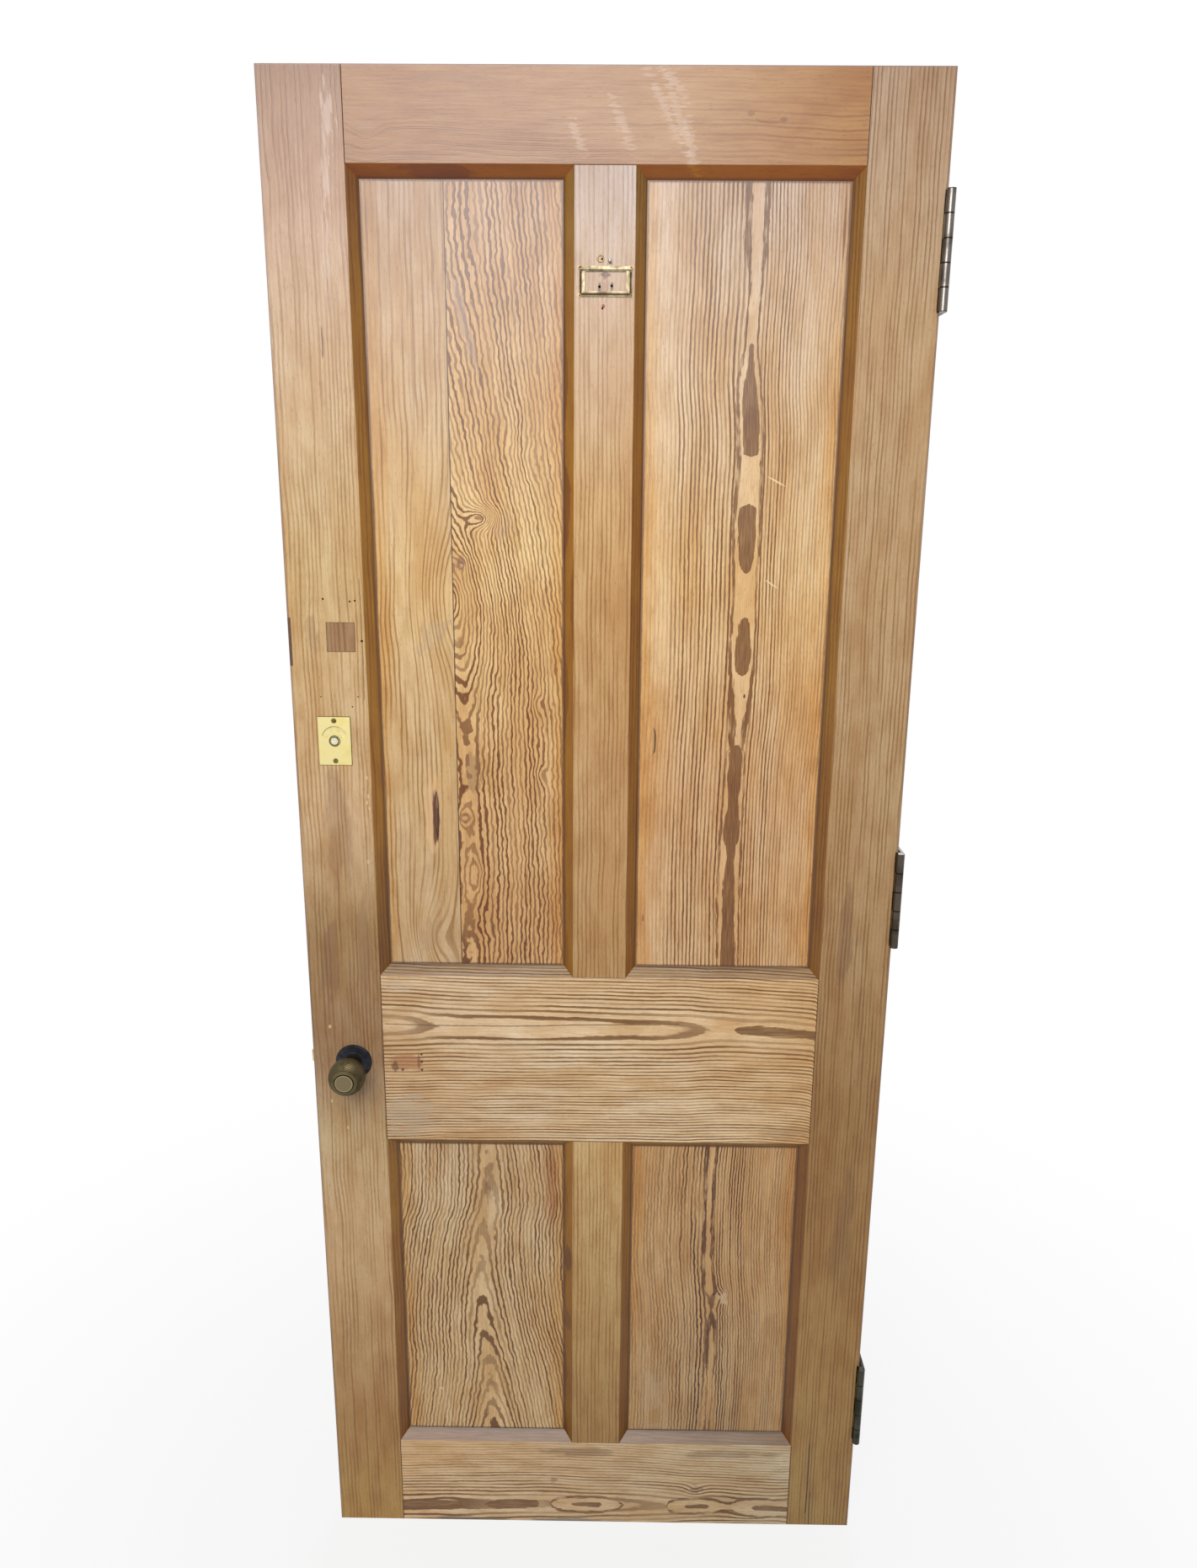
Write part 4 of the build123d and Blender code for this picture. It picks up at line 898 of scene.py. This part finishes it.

# %% [markdown]
# The card frame is brass, with a groove for the card and a bar along the top. The groove has gone brown, and
# the line under the bar is painted shade.

# %% The card frame
holder = Metal("card frame brass", (172, 160, 130), (134, 118, 86), 0.44, patch=12.0)
middle, half, foot, bar = 2.7, 31.4, 1715.35, 1743.2
sideways = half - holder.maths("ABSOLUTE", holder.x - middle)
inset = holder.maths("MINIMUM", sideways, holder.z - foot)
below_bar = holder.ease(holder.z, bar - 1.2, bar + 0.8, 1.0, 0.0)
holder.tint(holder.band(inset, 1.9, 4.4) * below_bar, (64, 46, 30))
# Painted shade: a dark line just under the bar.
holder.tint(holder.band(holder.z, bar, bar + 1.4), (58, 42, 28))
holder.tint(holder.ease(holder.z, bar + 5.0, bar + 5.8, 0.0, 0.6), (112, 92, 58))
finished["card_frame"] = holder.finish(0.8)
finished["card_frame_pins"] = Metal("card pins", (104, 78, 50), (58, 40, 26), 0.36, patch=2.0).finish()
print("a card frame and its pins")

# %% [markdown]
# The steel hinges get darker towards the floor. Where one knuckle meets the next a dark line of painted shade
# marks the gap, and the leaves behind the barrel are darkened with painted shade.

# %% The hinges
knuckle = 25.4
hinge_metals = {
    "top": ((112, 106, 100), (74, 68, 62)),
    "middle": ((86, 78, 68), (56, 50, 42)),
    "bottom": ((70, 70, 62), (44, 45, 38)),
}
for place, (bright, tarnish) in hinge_metals.items():
    hinge = Metal(place + " hinge", bright, tarnish, 0.22, patch=26.0)
    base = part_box(f"{place}_hinge_door_leaf")[0].z * 1000
    joint = hinge.maths("ABSOLUTE", hinge.maths("FRACT", (hinge.z - base) / knuckle + 0.5) - 0.5)
    # Painted shade in the gap where one knuckle meets the next.
    hinge.tint(hinge.ease(joint, 0.02, 0.045, 0.9, 0.0), (30, 25, 22))
    # Painted shade on the leaves behind the barrel.
    hinge.tint(hinge.ease(hinge.y, -23.5, -21.0, 0.0, 0.8), (40, 34, 30))
    finish = hinge.finish()
    for part in ("door_leaf", "frame_leaf", "pin"):
        finished[f"{place}_hinge_{part}"] = finish
print("three hinges")

# %% [markdown]
# A solid with a finish of its own gets that one. Every other solid gets the metal that its material slot in
# the CAD record names.

# %% Put the finishes on
for name, solid in nodes.items():
    finish = finished.get(name) or metals[slots[name]]
    solid.data.materials.clear()
    solid.data.materials.append(finish)
print(len(nodes), "solids finished")

# %% [markdown]
# A hundred years of hands have rubbed the corners off the framing. Each framing board is copied, its doubled
# points are merged, and its long arrises are bevelled. Only edges that turn outwards are taken, so the mitres
# in the corners of the splays stay sharp.

# %% Rub the long arrises of the framing
framing = ("lock_stile", "hinge_stile", "top_rail", "lock_rail", "bottom_rail", "upper_muntin",
           "lower_muntin")
arris_width, sharp, long_enough, near_a_face = 0.0007, 0.4, 0.05, 0.0199


def show(shape, name, finish, body="door"):
    """Makes a visible piece from a bmesh and lets it ride on a body of the frame."""
    mesh = bpy.data.meshes.new(name)
    shape.to_mesh(mesh)
    shape.free()
    mesh.materials.append(finish)
    piece = bpy.data.objects.new(name, mesh)
    scene.collection.objects.link(piece)
    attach(piece, body)
    return piece


for name in framing:
    solid = nodes[name]
    shape = bmesh.new()
    shape.from_mesh(solid.data)
    shape.transform(solid.matrix_world)
    bmesh.ops.remove_doubles(shape, verts=shape.verts, dist=0.000001)
    bmesh.ops.recalc_face_normals(shape, faces=shape.faces)
    arrises = []
    for edge in shape.edges:
        outward = edge.is_manifold and edge.is_convex and edge.calc_face_angle() > sharp
        depth = min(abs(point.co.y) for point in edge.verts)
        if outward and edge.calc_length() > long_enough and depth > near_a_face:
            arrises.append(edge)
    bmesh.ops.bevel(shape, geom=arrises, offset=arris_width, segments=3, profile=0.5, affect="EDGES",
                    clamp_overlap=True, material=-1)
    piece = show(shape, name + "_rubbed", finished[name])
    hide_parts(name)
    print(name, len(arrises), "arrises,", len(piece.data.polygons), "faces")

# %% [markdown]
# The latch's spring is the one part of the door that would give. Here it stands as its own piece, a copy of
# the CAD coil with a mesh of its own.

# %% The latch spring
coil = nodes["latch_spring"]
shape = bmesh.new()
shape.from_mesh(coil.data)
piece = show(shape, "latch_spring_coil", metals[slots["latch_spring"]])
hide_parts("latch_spring")
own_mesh(piece)

# %% [markdown]
# Round the card frame are the bits that older labels left in the wood: a bright nail above it, a ring of wire
# beside the nail, and the stub of another nail below.

# %% Nails and a wire ring by the card frame


def turned(profile, place, tilt, name, finish):
    """Spins a profile of (radius, height) points about an axis that leaves the face at a place."""
    shape = bmesh.new()
    points = [shape.verts.new((radius / 1000, 0, height / 1000)) for radius, height in profile]
    edges = [shape.edges.new(pair) for pair in zip(points, points[1:])]
    bmesh.ops.spin(shape, geom=points + edges, cent=(0, 0, 0), axis=(0, 0, 1), angle=2 * pi, steps=24,
                   use_merge=True)
    bmesh.ops.remove_doubles(shape, verts=shape.verts, dist=0.000001)
    bmesh.ops.recalc_face_normals(shape, faces=shape.faces)
    lean = Matrix.Rotation(radians(90 + tilt), 4, "X")
    shape.transform(Matrix.Translation([value / 1000 for value in place]) @ lean)
    piece = show(shape, name, finish)
    for face in piece.data.polygons:
        face.use_smooth = True
    return piece


nail = [(0, -1.5), (1.1, -1.5), (1.1, 3.6), (2.0, 4.0), (2.0, 4.5), (1.2, 5.0), (0, 5.1)]
turned(nail, (7.3, near_face, 1754.5), 14, "label_nail", metals["steel"])
stub = [(0, -1.0), (1.6, -1.0), (1.6, 1.2), (1.1, 1.9), (0, 2.0)]
turned(stub, (0.2, near_face, 1706.5), 0, "nail_stub", metals["tarnished_brass"])
ring_radius, wire_radius, ring_height = 3.4, 0.7, 0.4
turns = [radians(turn) for turn in range(0, 361, 30)]
loop = [(ring_radius + wire_radius * cos(turn), ring_height + wire_radius * sin(turn)) for turn in turns]
turned(loop, (-3.2, near_face, 1756.0), 0, "wire_ring", metals["tarnished_brass"])
print("two nails and a ring")
